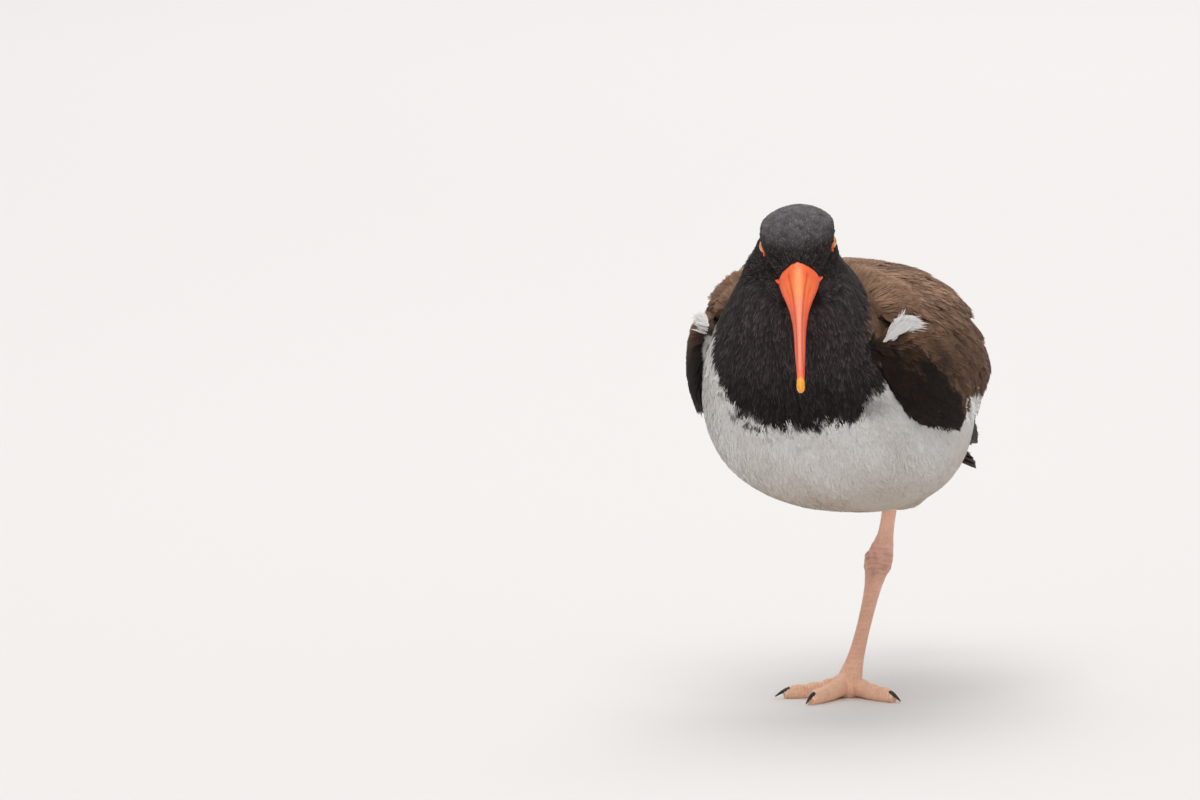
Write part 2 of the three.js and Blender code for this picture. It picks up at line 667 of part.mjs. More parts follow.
function claw({ turn, length, end }, grow = 0) {
  const start = length - 2.6;
  const stations = steps(0, 1, 3).map((t) => {
    const size = THREE.MathUtils.lerp(CLAW.root, CLAW.tip, t);
    const z = THREE.MathUtils.lerp(end * 1.25, 1.1, t ** 1.6);
    return { ...toePoint(turn, start + CLAW.length * t, z), wide: size, deep: size };
  });
  return limb(stations, 6, 1, grow);
}

const FOOT_PAD = { width: 8.4, length: 8.2, height: 6.8, y: -1.5, z: 4.8 };

function footPad() {
  const pad = new THREE.SphereGeometry(1, 12, 6).scale(FOOT_PAD.width, FOOT_PAD.length, FOOT_PAD.height);
  return solidOf(pad.translate(0, FOOT_PAD.y, FOOT_PAD.z));
}

// The right leg is drawn up: the heel and shank lie along the belly and sink into its feathers.
const DRAWN_LEG = [
  { x: -23, y: 12, z: 97, wide: 3.2, deep: 3.2 },
  { x: -22, y: 22, z: 91.5, wide: 3.6, deep: 3.6 },
  { x: -21, y: 36, z: 89.5, wide: 3.7, deep: 3.8 },
  { x: -20, y: 49, z: 90, wide: 5.6, deep: 5.6 },
  { x: -19.5, y: 57, z: 94, wide: 5.8, deep: 5.4 },
  { x: -19, y: 60, z: 102, wide: 4, deep: 4 },
  { x: -19, y: 58, z: 112, wide: 4, deep: 4 },
];

// Assembly
const bird = new THREE.Group();
const add = (name, body, material) => bird.add(mesh(name, body, material));
const onBody = (solidBody) => solidBody.translate(BODY_AT.toArray());
const addToBody = (name, body, material) => add(name, onBody(body), material);

const trunkBody = trunk();
const trunkRoom = trunk(GAP);
const headCut = trunkCut(NECK_TOP);
const neckCut = trunkCut(NECK_BASE);
const flesh = join([trunkBody, head()]);
const mantleRoom = mantle(GAP);
const tailRoom = tail(GAP);
const billRoom = join([upperBill(GAP), mandible(LOWER_BILL, false, GAP)]);
const eyeRoom = (hand) => ball(EYE.radius + GAP, eyeCentre(hand));
const lidRoom = join([LEFT, RIGHT].flatMap((hand) => [eyeLid(hand, GAP), eyeRoom(hand)]));

const neck = above(below(flesh, headCut), neckCut);
addToBody("head", above(flesh, headCut).subtract(billRoom).subtract(lidRoom), FINISH.hood);
addToBody("neck", neck.subtract(billRoom).subtract(mantleRoom), FINISH.hood);
addToBody("torso", below(flesh, neckCut).subtract(tailRoom), FINISH.belly);
addToBody("mantle", mantle().subtract(trunkRoom), FINISH.back);
addToBody("tail", tail(), FINISH.flight);
addToBody("leg_right_drawn_up", limb(DRAWN_LEG).subtract(trunkRoom), FINISH.skin);

const nostrils = join([nostril(LEFT), nostril(RIGHT)]);
addToBody("bill_upper", upperBill().subtract(nostrils), FINISH.bill);
addToBody("bill_lower", mandible(LOWER_BILL, false).subtract(upperBill(GAP)), FINISH.bill);

for (const [side, hand] of Object.entries({ left: LEFT, right: RIGHT })) {
  addToBody(`eye_${side}`, ball(EYE.radius, eyeCentre(hand)), FINISH.iris);
  addToBody(`eyelid_${side}`, eyeLid(hand).subtract(eyeRoom(hand)), FINISH.lid);
  addToBody(`wing_${side}`, wing(hand, join([trunkRoom, tailRoom]), mantleRoom), FINISH.flight);
}

const leg = limb(LEG);
const openLeg = leg.subtract(onBody(trunkRoom));
add("leg_left_tibia", above(openLeg, level(ANKLE_TOP_Z)), FINISH.skin);
add("leg_left_ankle", above(below(openLeg, level(ANKLE_TOP_Z)), level(ANKLE_BOTTOM_Z)), FINISH.skin);
add("leg_left_tarsus", above(below(openLeg, level(ANKLE_BOTTOM_Z)), level(FOOT_TOP_Z)), FINISH.skin);

const toeRoots = [];
for (const [name, sizes] of Object.entries(TOES)) {
  const a = rad(sizes.turn);
  const start = { normal: vec(Math.sin(a), -Math.cos(a), 0), offset: TOE_START };
  const whole = above(toe(sizes), floor);
  toeRoots.push(below(whole, start));
  add(`toe_${name}`, above(whole, start).subtract(claw(sizes, GAP)), FINISH.skin);
  add(`claw_${name}`, claw(sizes), FINISH.claw);
}
const foot = above(join([below(leg, level(FOOT_TOP_Z)), footPad(), ...toeRoots]), floor);
add("foot_left", foot, FINISH.skin);

export default bird;
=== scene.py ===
"""A life-size American oystercatcher at rest on one leg, dressed in feathers round its solids."""

from __future__ import annotations

import logging
import math
from contextlib import contextmanager
from dataclasses import dataclass
from enum import Enum
from typing import Any, Callable, Iterator, Sequence

import bpy
import numpy as np
from mathutils import Matrix, Vector

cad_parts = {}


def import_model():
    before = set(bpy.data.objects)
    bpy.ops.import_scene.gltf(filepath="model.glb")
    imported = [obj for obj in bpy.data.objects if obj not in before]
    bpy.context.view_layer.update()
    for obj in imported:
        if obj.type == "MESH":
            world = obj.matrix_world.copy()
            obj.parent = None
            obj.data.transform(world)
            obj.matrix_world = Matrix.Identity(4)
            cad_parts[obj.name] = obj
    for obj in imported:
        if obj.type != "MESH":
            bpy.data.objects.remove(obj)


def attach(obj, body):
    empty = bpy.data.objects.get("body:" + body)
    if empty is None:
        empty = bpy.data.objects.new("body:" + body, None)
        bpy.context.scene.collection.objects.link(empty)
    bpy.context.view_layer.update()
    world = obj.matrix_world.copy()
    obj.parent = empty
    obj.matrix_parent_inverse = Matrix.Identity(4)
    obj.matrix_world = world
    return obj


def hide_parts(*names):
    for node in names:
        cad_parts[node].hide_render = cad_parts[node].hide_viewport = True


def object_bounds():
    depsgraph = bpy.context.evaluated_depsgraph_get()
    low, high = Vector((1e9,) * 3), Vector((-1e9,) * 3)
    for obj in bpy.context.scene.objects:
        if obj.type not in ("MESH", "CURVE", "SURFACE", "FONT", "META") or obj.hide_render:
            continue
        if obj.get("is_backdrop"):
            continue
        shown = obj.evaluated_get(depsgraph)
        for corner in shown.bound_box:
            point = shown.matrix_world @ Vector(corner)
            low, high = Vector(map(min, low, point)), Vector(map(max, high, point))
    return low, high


LOG = logging.getLogger("oystercatcher")
MM = 0.001
SEED = 41
BODY_AT = np.array([7.5, -18.5, 2.1])
NONE = np.zeros(3)
MIDLINE_X = -4.0
Array = np.ndarray
Point = tuple[float, float, float]


class Hand(Enum):
    """A side of the bird."""

    LEFT = 1
    RIGHT = -1

    @property
    def label(self) -> str:
        """Return the side's name in the solids' names."""
        return self.name.lower()


# Sums that every piece uses


class Curve:
    """A smooth curve through points (x, value)."""

    def __init__(self, xs: Sequence[float], values: Sequence[float]) -> None:
        """Keep the points and work out the slopes.

        Args:
            xs: The keys, rising.
            values: The value at each key.
        """
        self.xs = np.asarray(xs, float)
        self.values = np.asarray(values, float)
        ends = np.arange(len(xs))
        before, after = np.maximum(ends - 1, 0), np.minimum(ends + 1, len(xs) - 1)
        rise = self.values[after] - self.values[before]
        self.slopes = rise / (self.xs[after] - self.xs[before])

    def __call__(self, x: Any) -> Array:
        """Work out the curve.

        Args:
            x: Where, as a number or an array.

        Returns:
            The value there, held at the ends.
        """
        at = np.clip(x, self.xs[0], self.xs[-1])
        i = np.clip(np.searchsorted(self.xs, at, side="right") - 1, 0, len(self.xs) - 2)
        span = self.xs[i + 1] - self.xs[i]
        t = (at - self.xs[i]) / span
        t2, t3 = t * t, t * t * t
        return (
            (2 * t3 - 3 * t2 + 1) * self.values[i]
            + (t3 - 2 * t2 + t) * span * self.slopes[i]
            + (3 * t2 - 2 * t3) * self.values[i + 1]
            + (t3 - t2) * span * self.slopes[i + 1]
        )


def curves(rows: Sequence[Any], keys: Sequence[float], *names: str) -> dict[str, Curve]:
    """Return one curve for each named size in a row of sections."""
    return {name: Curve(keys, [getattr(row, name) for row in rows]) for name in names}


def rounded(angle: Array, fullness: Any) -> tuple[Array, Array]:
    """Return a point on a rounded outline of size 1.

    Args:
        angle: The angle in radians.
        fullness: 2 for an ellipse, more for a squarer outline.

    Returns:
        How far across and how far up.
    """
    power = 2.0 / np.asarray(fullness, float)
    c, s = np.cos(angle), np.sin(angle)
    return np.sign(c) * np.abs(c) ** power, np.sign(s) * np.abs(s) ** power


def smooth(low: float, high: float, x: Any) -> Array:
    """Return 0 below low, 1 above high, and a smooth step between them."""
    t = np.clip((np.asarray(x, float) - low) / (high - low), 0, 1)
    return t * t * (3 - 2 * t)


def bell(x: Any, width: float) -> Array:
    """Return 1 at 0, falling off over a width to both sides."""
    return np.exp(-((x / width) ** 2))


def bank(x: Any) -> Array:
    """Return a quarter round that rises from 0 at 0 to 1 at 1."""
    return np.sqrt(1 - (1 - np.minimum(x, 1)) ** 2)


def unit(v: Array) -> Array:
    """Return the vectors with length 1."""
    return v / np.maximum(np.linalg.norm(v, axis=-1, keepdims=True), 1e-9)


def mix(a: Any, b: Any, share: Array) -> Array:
    """Return the blend of two colours by a share for each point."""
    share = np.asarray(share)[..., None]
    return np.asarray(a) * (1 - share) + np.asarray(b) * share


def mottle(points: Array, size: float, key: int) -> Array:
    """Return a soft random field.

    Args:
        points: Places in millimetres.
        size: The size of one blotch in millimetres.
        key: Which field of the family.

    Returns:
        A value from about -1 to 1 for each place.
    """
    rng = np.random.default_rng(key)
    total = np.zeros(points.shape[:-1])
    for _ in range(7):
        wave = rng.normal(size=3)
        wave *= rng.uniform(0.7, 1.5) * math.tau / (size * 2.2) / np.linalg.norm(wave)
        total += np.sin(points @ wave + rng.uniform(0, math.tau))
    return total / 3.2


def circle(count: int) -> Array:
    """Return angles once round, without the last, in one row."""
    return np.linspace(0, math.tau, count + 1)[None, :-1]


# Shapes of the bird, in millimetres round its own midline


@dataclass(frozen=True)
class Section:
    """A section across the trunk."""

    y: float
    z: float
    tilt: float
    width: float
    up: float
    down: float


@dataclass
class Trunk:
    """Neck, breast, belly and rump in one form."""

    stations: tuple[Section, ...] = (
        Section(-66, 233.5, 84, 13, 13, 8),
        Section(-65, 222.5, 80, 19, 21, 13),
        Section(-64, 209, 76, 25.5, 29, 22),
        Section(-58, 193, 68, 36.5, 38, 31),
        Section(-47, 177, 57, 48, 49, 48),
        Section(-26, 160, 37, 57, 55, 61),
        Section(4, 150, 15, 59.5, 55, 62),
        Section(36, 144, 10, 55, 51, 58.5),
        Section(66, 138, 12, 45, 40, 49),
        Section(92, 131, 16, 29, 26, 31),
        Section(112, 122, 19, 16, 11, 15),
        Section(130, 111, 20, 7, 2, 4.5),
    )
    fullness: tuple[float, float] = (2.2, 2.6)
    least_reach: float = 0.6
    least_width: float = 0.8

    def __post_init__(self) -> None:
        """Make one curve for each size of the sections."""
        self.last = len(self.stations) - 1
        names = ("y", "z", "tilt", "width", "up", "down")
        self.size = curves(self.stations, range(self.last + 1), *names)

    def point(self, t: Array, angle: Array, grow: float = 0.0) -> Array:
        """Return points on the trunk.

        Args:
            t: The place along it, counted in stations.
            angle: The angle round it in radians, 0 at the bird's left, a quarter turn at the back.
            grow: How far outside the form, in millimetres.

        Returns:
            The points in millimetres.
        """
        t, angle = np.broadcast_arrays(np.asarray(t, float), np.asarray(angle, float))
        top = np.sin(angle) > 0
        across, rise = rounded(angle, np.where(top, *self.fullness))
        half = np.where(top, self.size["up"](t), self.size["down"](t))
        reach = np.maximum(half + grow, self.least_reach) * rise
        tilt = np.radians(self.size["tilt"](t))
        return np.stack(
            [
                MIDLINE_X + np.maximum(self.size["width"](t) + grow, self.least_width) * across,
                self.size["y"](t) + reach * np.sin(tilt),
                self.size["z"](t) + reach * np.cos(tilt),
            ],
            -1,
        )

    def locate(self, points: Array) -> tuple[Array, Array, Array]:
        """Find places on the trunk.

        Args:
            points: Points near its surface.

        Returns:
            The place along it, the angle round it, and the direction towards the tail there.
        """
        ts = np.linspace(0, self.last, 221)
        tilt = np.radians(self.size["tilt"](ts))
        cy, cz = self.size["y"](ts), self.size["z"](ts)
        y, z = points[:, 1], points[:, 2]
        i = np.abs((y[:, None] - cy) * np.cos(tilt) - (z[:, None] - cz) * np.sin(tilt)).argmin(1)
        reach = (y - cy[i]) * np.sin(tilt[i]) + (z - cz[i]) * np.cos(tilt[i])
        tail = np.stack([0 * reach, np.cos(tilt[i]), -np.sin(tilt[i])], -1)
        return ts[i], np.arctan2(reach, points[:, 0] - MIDLINE_X), tail


@dataclass(frozen=True)
class Slice:
    """A section across the head."""

    along: float
    top: float
    mid: float
    bottom: float
    width: float


@dataclass
class Head:
    """The head and its frame: left, along the bill, and up, from between the eyes."""

    turn: float = 22.0
    drop: float = 35.0
    lean: float = 5.0
    centre: Point = (2.5, -75.0, 225.0)
    slices: tuple[Slice, ...] = (
        Slice(-25, 1.5, 0, -2, 2),
        Slice(-23.5, 4.2, 0, -7, 7),
        Slice(-19, 7.8, 1, -11.5, 13.2),
        Slice(-10, 11.3, 3, -15, 18.4),
        Slice(0, 12.3, 4, -15, 19.2),
        Slice(8, 10.9, 3.5, -13.4, 17),
        Slice(15, 8.1, 1.5, -11.6, 13),
        Slice(20, 5.4, -1, -10, 9.8),
        Slice(23, 3, -3, -8.6, 7),
    )
    hollow_at: tuple[float, float] = (0.5, -1.0)
    hollow_depth: float = 1.9
    hollow_reach: float = 6.0

    def __post_init__(self) -> None:
        """Make the frame and one curve for each size."""
        turn = (
            Matrix.Rotation(math.pi + math.radians(self.turn), 3, "Z")
            @ Matrix.Rotation(-math.radians(self.drop), 3, "X")
            @ Matrix.Rotation(math.radians(self.lean), 3, "Y")
        )
        self.axes = np.array(turn) @ np.diag([-1.0, 1.0, 1.0])
        keys = [s.along for s in self.slices]
        self.size = curves(self.slices, keys, "top", "mid", "bottom", "width")

    def place(self, left: Any, along: Any, up: Any) -> Array:
        """Return points given in the head's frame."""
        local = np.broadcast_arrays(*(np.asarray(v, float) for v in (left, along, up)))
        return np.array(self.centre) + np.stack(local, -1) @ self.axes.T

    def local(self, points: Array) -> Array:
        """Return left, along and up for points."""
        return (points - np.array(self.centre)) @ self.axes

    def ring(self, along: Array, angle: Array, grow: float = 0.0) -> Array:
        """Return points on the head.

        Args:
            along: The place along the bill's line.
            angle: The angle round it in radians.
            grow: How far outside the form.

        Returns:
            The points in millimetres.
        """
        along, angle = np.broadcast_arrays(np.asarray(along, float), np.asarray(angle, float))
        mid, rise = self.size["mid"](along), np.sin(angle)
        edge = np.where(rise > 0, self.size["top"](along), self.size["bottom"](along))
        up = mid + rise * np.maximum(np.abs(edge - mid) + grow, 0.4)
        near = (along - self.hollow_at[0]) ** 2 + (up - self.hollow_at[1]) ** 2
        hollow = self.hollow_depth * np.exp(-near / (2 * self.hollow_reach**2))
        width = np.maximum(self.size["width"](along) - hollow + grow, 0.5)
        return self.place(width * np.cos(angle), along, up)


@dataclass(frozen=True)
class Envelope:
    """The smooth surface that the folded wings and the back feathers lie on."""

    keys: tuple[float, ...] = (-80, -66, -45, -20, 10, 40, 70, 100, 130, 155, 178)
    level: Curve = Curve(keys, (170, 167, 161, 155, 151, 147, 142, 132, 120, 111, 104))
    width: Curve = Curve(keys, (30, 47, 58.5, 63.5, 64, 59.5, 46, 32, 20, 12, 7.5))
    height: Curve = Curve(keys, (22, 36, 46, 52, 56.5, 54, 45, 28, 13, 7, 4))
    fullness: tuple[float, float] = (2.35, 2.0)
    press: float = 5.5

    def on(self, hand: Hand, y: Any, angle: Any, above: Any) -> Array:
        """Return points on it.

        Args:
            hand: The side.
            y: The place from front to back.
            angle: Degrees up from the side, 90 over the back.
            above: How far outside it.

        Returns:
            The points in millimetres.
        """
        y, angle, above = np.broadcast_arrays(*(np.asarray(v, float) for v in (y, angle, above)))
        across, rise = rounded(np.radians(angle), np.where(angle > 0, *self.fullness))
        x = MIDLINE_X + hand.value * (self.width(y) + above) * across
        return np.stack([x, y, self.level(y) + (self.height(y) + above) * rise], -1)

    def dent(self, y: Any, angle: Any) -> Array:
        """Return how far the wing's lower rear is pressed in against the flank."""
        return self.press * smooth(-12, 11, y) * smooth(9, -8, angle) * smooth(95, 60, y)

    def girth(self, y: Any) -> Array:
        """Return the millimetres in one degree round it."""
        return math.radians(1) * (self.width(y) + self.height(y)) / 2

    def angle(self, y: Any, z: Any) -> Array:
        """Find the angle of points seen from the side.

        Args:
            y: Their places from front to back.
            z: Their heights.

        Returns:
            The angles in degrees.
        """
        rise = np.clip((z - self.level(y)) / self.height(y), -1, 1)
        power = np.where(rise > 0, *self.fullness) / 2
        return np.sign(rise) * np.degrees(np.arcsin(np.abs(rise) ** power))

    def holds(self, points: Array, less: float) -> Array:
        """Find which points lie inside it.

        Args:
            points: The points.
            less: The least depth.

        Returns:
            True for each one inside.
        """
        y, rise = points[:, 1], points[:, 2] - self.level(points[:, 1])
        power = np.where(rise > 0, *self.fullness)
        across = np.abs(points[:, 0] - MIDLINE_X) / (self.width(y) - less)
        return across**power + (np.abs(rise) / (self.height(y) - less)) ** power < 1

    def seen(self, *points: tuple[float, float]) -> tuple[tuple[float, float], ...]:
        """Return (y, angle) for points (y, z) of the side view."""
        return tuple((y, float(self.angle(y, z))) for y, z in points)


TRUNK = Trunk()
HEAD = Head()
ENVELOPE = Envelope()


# Making meshes


def deselect() -> None:
    """Leave edit mode with nothing selected."""
    if bpy.context.object and bpy.context.object.mode != "OBJECT":
        bpy.ops.object.mode_set(mode="OBJECT")
    bpy.ops.object.select_all(action="DESELECT")


def only(piece: bpy.types.Object) -> None:
    """Select one object alone and make it active."""
    deselect()
    piece.select_set(True)
    bpy.context.view_layer.objects.active = piece


@contextmanager
def editing(piece: bpy.types.Object) -> Iterator[None]:
    """Open a mesh in edit mode with all of it selected, and leave edit mode at the end.

    Args:
        piece: The mesh object.

    Yields:
        Nothing, while it is open.
    """
    only(piece)
    bpy.ops.object.mode_set(mode="EDIT")
    bpy.ops.mesh.select_all(action="SELECT")
    yield
    bpy.ops.object.mode_set(mode="OBJECT")


def named(name: str) -> bpy.types.Object:
    """Name the object that was just added, and its mesh."""
    piece = bpy.context.object
    piece.name = piece.data.name = name
    return piece


def settle(piece: bpy.types.Object) -> bpy.types.Object:
    """Put an object's place, turn and size into its mesh."""
    only(piece)
    bpy.ops.object.transform_apply(location=True, rotation=True, scale=True)
    return piece


def ball(segments: int, rings: int, radius: float = 1.0) -> bpy.types.Object:
    """Add a sphere at the origin, with a radius in millimetres."""
    deselect()
    bpy.ops.mesh.primitive_uv_sphere_add(segments=segments, ring_count=rings, radius=radius * MM)
    return bpy.context.object


def outwards(piece: bpy.types.Object) -> None:
    """Turn the faces of a closed mesh outwards."""
    with editing(piece):
        bpy.ops.mesh.normals_make_consistent(inside=False)


def turn_over(piece: bpy.types.Object) -> None:
    """Turn all faces of an open mesh over."""
    with editing(piece):
        bpy.ops.mesh.flip_normals()


def weld(piece: bpy.types.Object, reach: float) -> bpy.types.Object:
    """Merge doubles, close the ends and turn the faces outwards.

    Args:
        piece: The mesh object.
        reach: The merge distance in metres.

    Returns:
        The same object, shaded smooth.
    """
    with editing(piece):
        bpy.ops.mesh.remove_doubles(threshold=reach)
        bpy.ops.mesh.fill_holes(sides=0)
        bpy.ops.mesh.normals_make_consistent(inside=False)
    bpy.ops.object.shade_smooth()
    return piece


def sheet(name: str, points: Array, at: Array = BODY_AT) -> bpy.types.Object:
    """Shape a grid into an open surface.

    Args:
        name: The object's name.
        points: Rows of points in millimetres.
        at: The place of their own origin.

    Returns:
        The surface.
    """
    rows, cols = points.shape[:2]
    deselect()
    bpy.ops.mesh.primitive_grid_add(x_subdivisions=cols - 1, y_subdivisions=rows - 1)
    piece = named(name)
    move_points(piece, points, at)
    bpy.ops.object.shade_smooth()
    return piece


def wrap(name: str, rings: Array, at: Array = BODY_AT) -> bpy.types.Object:
    """Shape a grid into a closed tube through rings of points.

    Args:
        name: The object's name.
        rings: Points in millimetres, one row for each ring.
        at: The place of the rings' own origin.

    Returns:
        The tube, welded along its seam and closed at its ends.
    """
    return weld(sheet(name, np.concatenate([rings, rings[:, :1]], 1), at), 1e-5)


def join(name: str, pieces: Sequence[bpy.types.Object]) -> bpy.types.Object:
    """Join objects into one.

    Args:
        name: The new object's name.
        pieces: The objects.

    Returns:
        The joined object.
    """
    deselect()
    for piece in pieces:
        piece.select_set(True)
    bpy.context.view_layer.objects.active = pieces[0]
    bpy.ops.object.join()
    return named(name)


def fuse(piece: bpy.types.Object, voxel: float, passes: int) -> bpy.types.Object:
    """Fuse overlapping closed forms into one smooth skin.

    Args:
        piece: The joined forms.
        voxel: The size of the new faces in millimetres.
        passes: How many times the result is smoothed.

    Returns:
        The same object.
    """
    only(piece)
    piece.data.remesh_voxel_size = voxel * MM
    piece.data.remesh_voxel_adaptivity = 0
    bpy.ops.object.voxel_remesh()
    with editing(piece):
        bpy.ops.mesh.vertices_smooth(factor=0.5, repeat=passes)
    bpy.ops.object.shade_smooth()
    return piece


def woven(name: str, points: Array, faces: Array, maps: dict[str, Array]) -> bpy.types.Object:
    """Make one smooth mesh of many thousand small feathers from arrays.

    Args:
        name: The object's name.
        points: Its points in millimetres, in the bird's own frame.
        faces: Its faces, all with the same number of corners.
        maps: The places of its points on each UV map.

    Returns:
        The object.
    """
    data = bpy.data.meshes.new(name)
    data.vertices.add(len(points))
    data.vertices.foreach_set("co", ((points + BODY_AT) * MM).astype(np.float32).ravel())
    data.loops.add(faces.size)
    data.loops.foreach_set("vertex_index", faces.astype(np.int32).ravel())
    data.polygons.add(len(faces))
    starts = np.arange(len(faces)) * faces.shape[1]
    data.polygons.foreach_set("loop_start", starts.astype(np.int32))
    data.update(calc_edges=True)
    for key, uv in maps.items():
        layer = data.uv_layers.new(name=key)
        layer.data.foreach_set("uv", uv[faces.ravel()].astype(np.float32).ravel())
    data.polygons.foreach_set("use_smooth", np.ones(len(faces), bool))
    piece = bpy.data.objects.new(name, data)
    bpy.context.scene.collection.objects.link(piece)
    return piece


def places(piece: bpy.types.Object, at: Array = BODY_AT) -> Array:
    """Return a mesh's points in millimetres, less the place given."""
    flat = np.empty(len(piece.data.vertices) * 3, np.float32)
    piece.data.vertices.foreach_get("co", flat)
    return flat.reshape(-1, 3).astype(float) / MM - at


def move_points(piece: bpy.types.Object, points: Array, at: Array = BODY_AT) -> None:
    """Set a mesh's points from millimetres."""
    piece.data.vertices.foreach_set("co", ((points + at) * MM).astype(np.float32).ravel())
    piece.data.update()


def normals(piece: bpy.types.Object) -> Array:
    """Return a mesh's point normals."""
    flat = np.empty(len(piece.data.vertices) * 3, np.float32)
    piece.data.vertex_normals.foreach_get("vector", flat)
    return flat.reshape(-1, 3).astype(float)


def paint(piece: bpy.types.Object, colours: Array) -> None:
    """Store a colour for each point as the attribute Plumage."""
    made = piece.data.attributes.new("Plumage", "FLOAT_COLOR", "POINT")
    full = np.concatenate([np.clip(colours, 0, 1), np.ones((len(colours), 1))], 1)
    made.data.foreach_set("color", full.astype(np.float32).ravel())


def grain(piece: bpy.types.Object, vectors: Array) -> None:
    """Store a place in the grain for each point as the attribute Grain."""
    made = piece.data.attributes.new("Grain", "FLOAT_VECTOR", "POINT")
    made.data.foreach_set("vector", vectors.astype(np.float32).ravel())


def dress(
    piece: bpy.types.Object, finish: bpy.types.Material, slot: str, *nodes: str
) -> bpy.types.Object:
    """Give a piece its finish, its body and the nodes that it stands for.

    Args:
        piece: The finished piece.
        finish: Its material.
        slot: Not used.
        nodes: The solids that it replaces.

    Returns:
        The same piece.
    """
    piece.data.materials.clear()
    piece.data.materials.append(finish)
    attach(piece, "root")
    if nodes:
        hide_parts(*nodes)
    LOG.info("%s: %d faces", piece.name, len(piece.data.polygons))
    return piece


# Shader maths


class Value:
    """A number that varies over a surface, with arithmetic that adds Math nodes."""

    def __init__(self, shader: Shader, socket: bpy.types.NodeSocket) -> None:
        """Wrap a socket of a shader."""
        self.shader, self.socket = shader, socket

    def _math(self, operation: str, *values: Any) -> Value:
        """Return the result of a Math node on values."""
        made = self.shader.node("ShaderNodeMath", {"operation": operation}, *values)
        return Value(self.shader, made.outputs[0])

    def __add__(self, other: Any) -> Value:
        """Return the sum."""
        return self._math("ADD", self, other)

    def __mul__(self, other: Any) -> Value:
        """Return the product."""
        return self._math("MULTIPLY", self, other)

    def __sub__(self, other: Any) -> Value:
        """Return the difference."""
        return self._math("SUBTRACT", self, other)

    def __rsub__(self, other: Any) -> Value:
        """Return the difference the other way round."""
        return self._math("SUBTRACT", other, self)

    def step(self, low: float, high: float) -> Value:
        """Return 0 below low, 1 above high and a smooth step between."""
        kind = {"interpolation_type": "SMOOTHSTEP"}
        made = self.shader.node("ShaderNodeMapRange", kind, self, low, high, 0.0, 1.0)
        return Value(self.shader, made.outputs[0])


class Shader:
    """One material under construction."""

    def __init__(self, name: str) -> None:
        """Start a material with a Principled surface."""
        self.material = bpy.data.materials.new(name)
        self.material.use_nodes = True
        self.tree = self.material.node_tree
        self.surface = self.tree.nodes["Principled BSDF"]

    def node(
        self, kind: str, settings: dict[str, Any], *inputs: Any, **more: Any
    ) -> bpy.types.Node:
        """Add a node.

        Args:
            kind: The node's type.
            settings: What is set before anything is linked.
            inputs: Values or links for its sockets in order.
            more: Values or links for sockets by name.

        Returns:
            The node.
        """
        made = self.tree.nodes.new(kind)
        for key, value in settings.items():
            setattr(made, key, value)
        for key, value in [*enumerate(inputs), *more.items()]:
            self.feed(made.inputs[key], value)
        return made

    def feed(self, socket: bpy.types.NodeSocket, value: Any) -> None:
        """Link or set one socket.

        Args:
            socket: The socket.
            value: A value, a link or a varying number.
        """
        if isinstance(value, Value):
            value = value.socket
        if isinstance(value, bpy.types.NodeSocket):
            self.tree.links.new(value, socket)
        else:
            socket.default_value = value

    def made(self, **inputs: Any) -> bpy.types.Material:
        """Finish the surface.

        Args:
            inputs: What each of its sockets is set or linked to, with _ for a space in a name.

        Returns:
            The material.
        """
        for key, value in inputs.items():
            self.feed(self.surface.inputs[key.replace("_", " ")], value)
        return self.material

    def grained(self) -> bpy.types.NodeSocket:
        """Return the places in the piece's grain."""
        kind = {"attribute_name": "Grain", "attribute_type": "GEOMETRY"}
        return self.node("ShaderNodeAttribute", kind).outputs["Vector"]

    def place(self) -> bpy.types.NodeSocket:
        """Return Object coordinates."""
        return self.node("ShaderNodeTexCoord", {}).outputs["Object"]

    def noise(self, where: bpy.types.NodeSocket, scale: float, detail: float = 3.0) -> Value:
        """Return a noise pattern from 0 to 1."""
        made = self.node("ShaderNodeTexNoise", {}, Vector=where, Scale=scale, Detail=detail)
        return Value(self, made.outputs[0])

    def scaled(self, where: bpy.types.NodeSocket, size: Point) -> bpy.types.NodeSocket:
        """Return coordinates stretched by a size for each axis."""
        return self.node("ShaderNodeMapping", {}, Vector=where, Scale=size).outputs[0]

    def blend(self, share: Any, a: Any, b: Any, kind: str = "MIX") -> bpy.types.NodeSocket:
        """Mix two colours.

        Args:
            share: The share of the second.
            a: The first colour.
            b: The second colour.
            kind: How they are mixed.

        Returns:
            The mix.
        """
        made = self.node("ShaderNodeMix", {"data_type": "RGBA", "blend_type": kind})
        for place, value in ((0, share), (6, a), (7, b)):
            self.feed(made.inputs[place], value)
        return made.outputs[2]

    def shaded(
        self, shade: Value, share: float = 1.0, tones: Point = (1.0, 1.0, 1.0)
    ) -> bpy.types.NodeSocket:
        """Multiply the piece's own markings by a shade.

        Args:
            shade: The shade.
            share: How much of it shows.
            tones: Its red, green and blue, as shares of the shade.

        Returns:
            The shaded colour.
        """
        kind = {"attribute_name": "Plumage", "attribute_type": "GEOMETRY"}
        markings = self.node("ShaderNodeAttribute", kind).outputs["Color"]
        parts = (shade * tone for tone in tones)
        tint = self.node("ShaderNodeCombineColor", {}, *parts).outputs[0]
        return self.blend(share, markings, tint, "MULTIPLY")

    def bump(self, height: Value, strength: float, depth: float) -> bpy.types.NodeSocket:
        """Return a normal with bumps of a depth in metres."""
        made = self.node("ShaderNodeBump", {}, Strength=strength, Distance=depth, Height=height)
        return made.outputs[0]


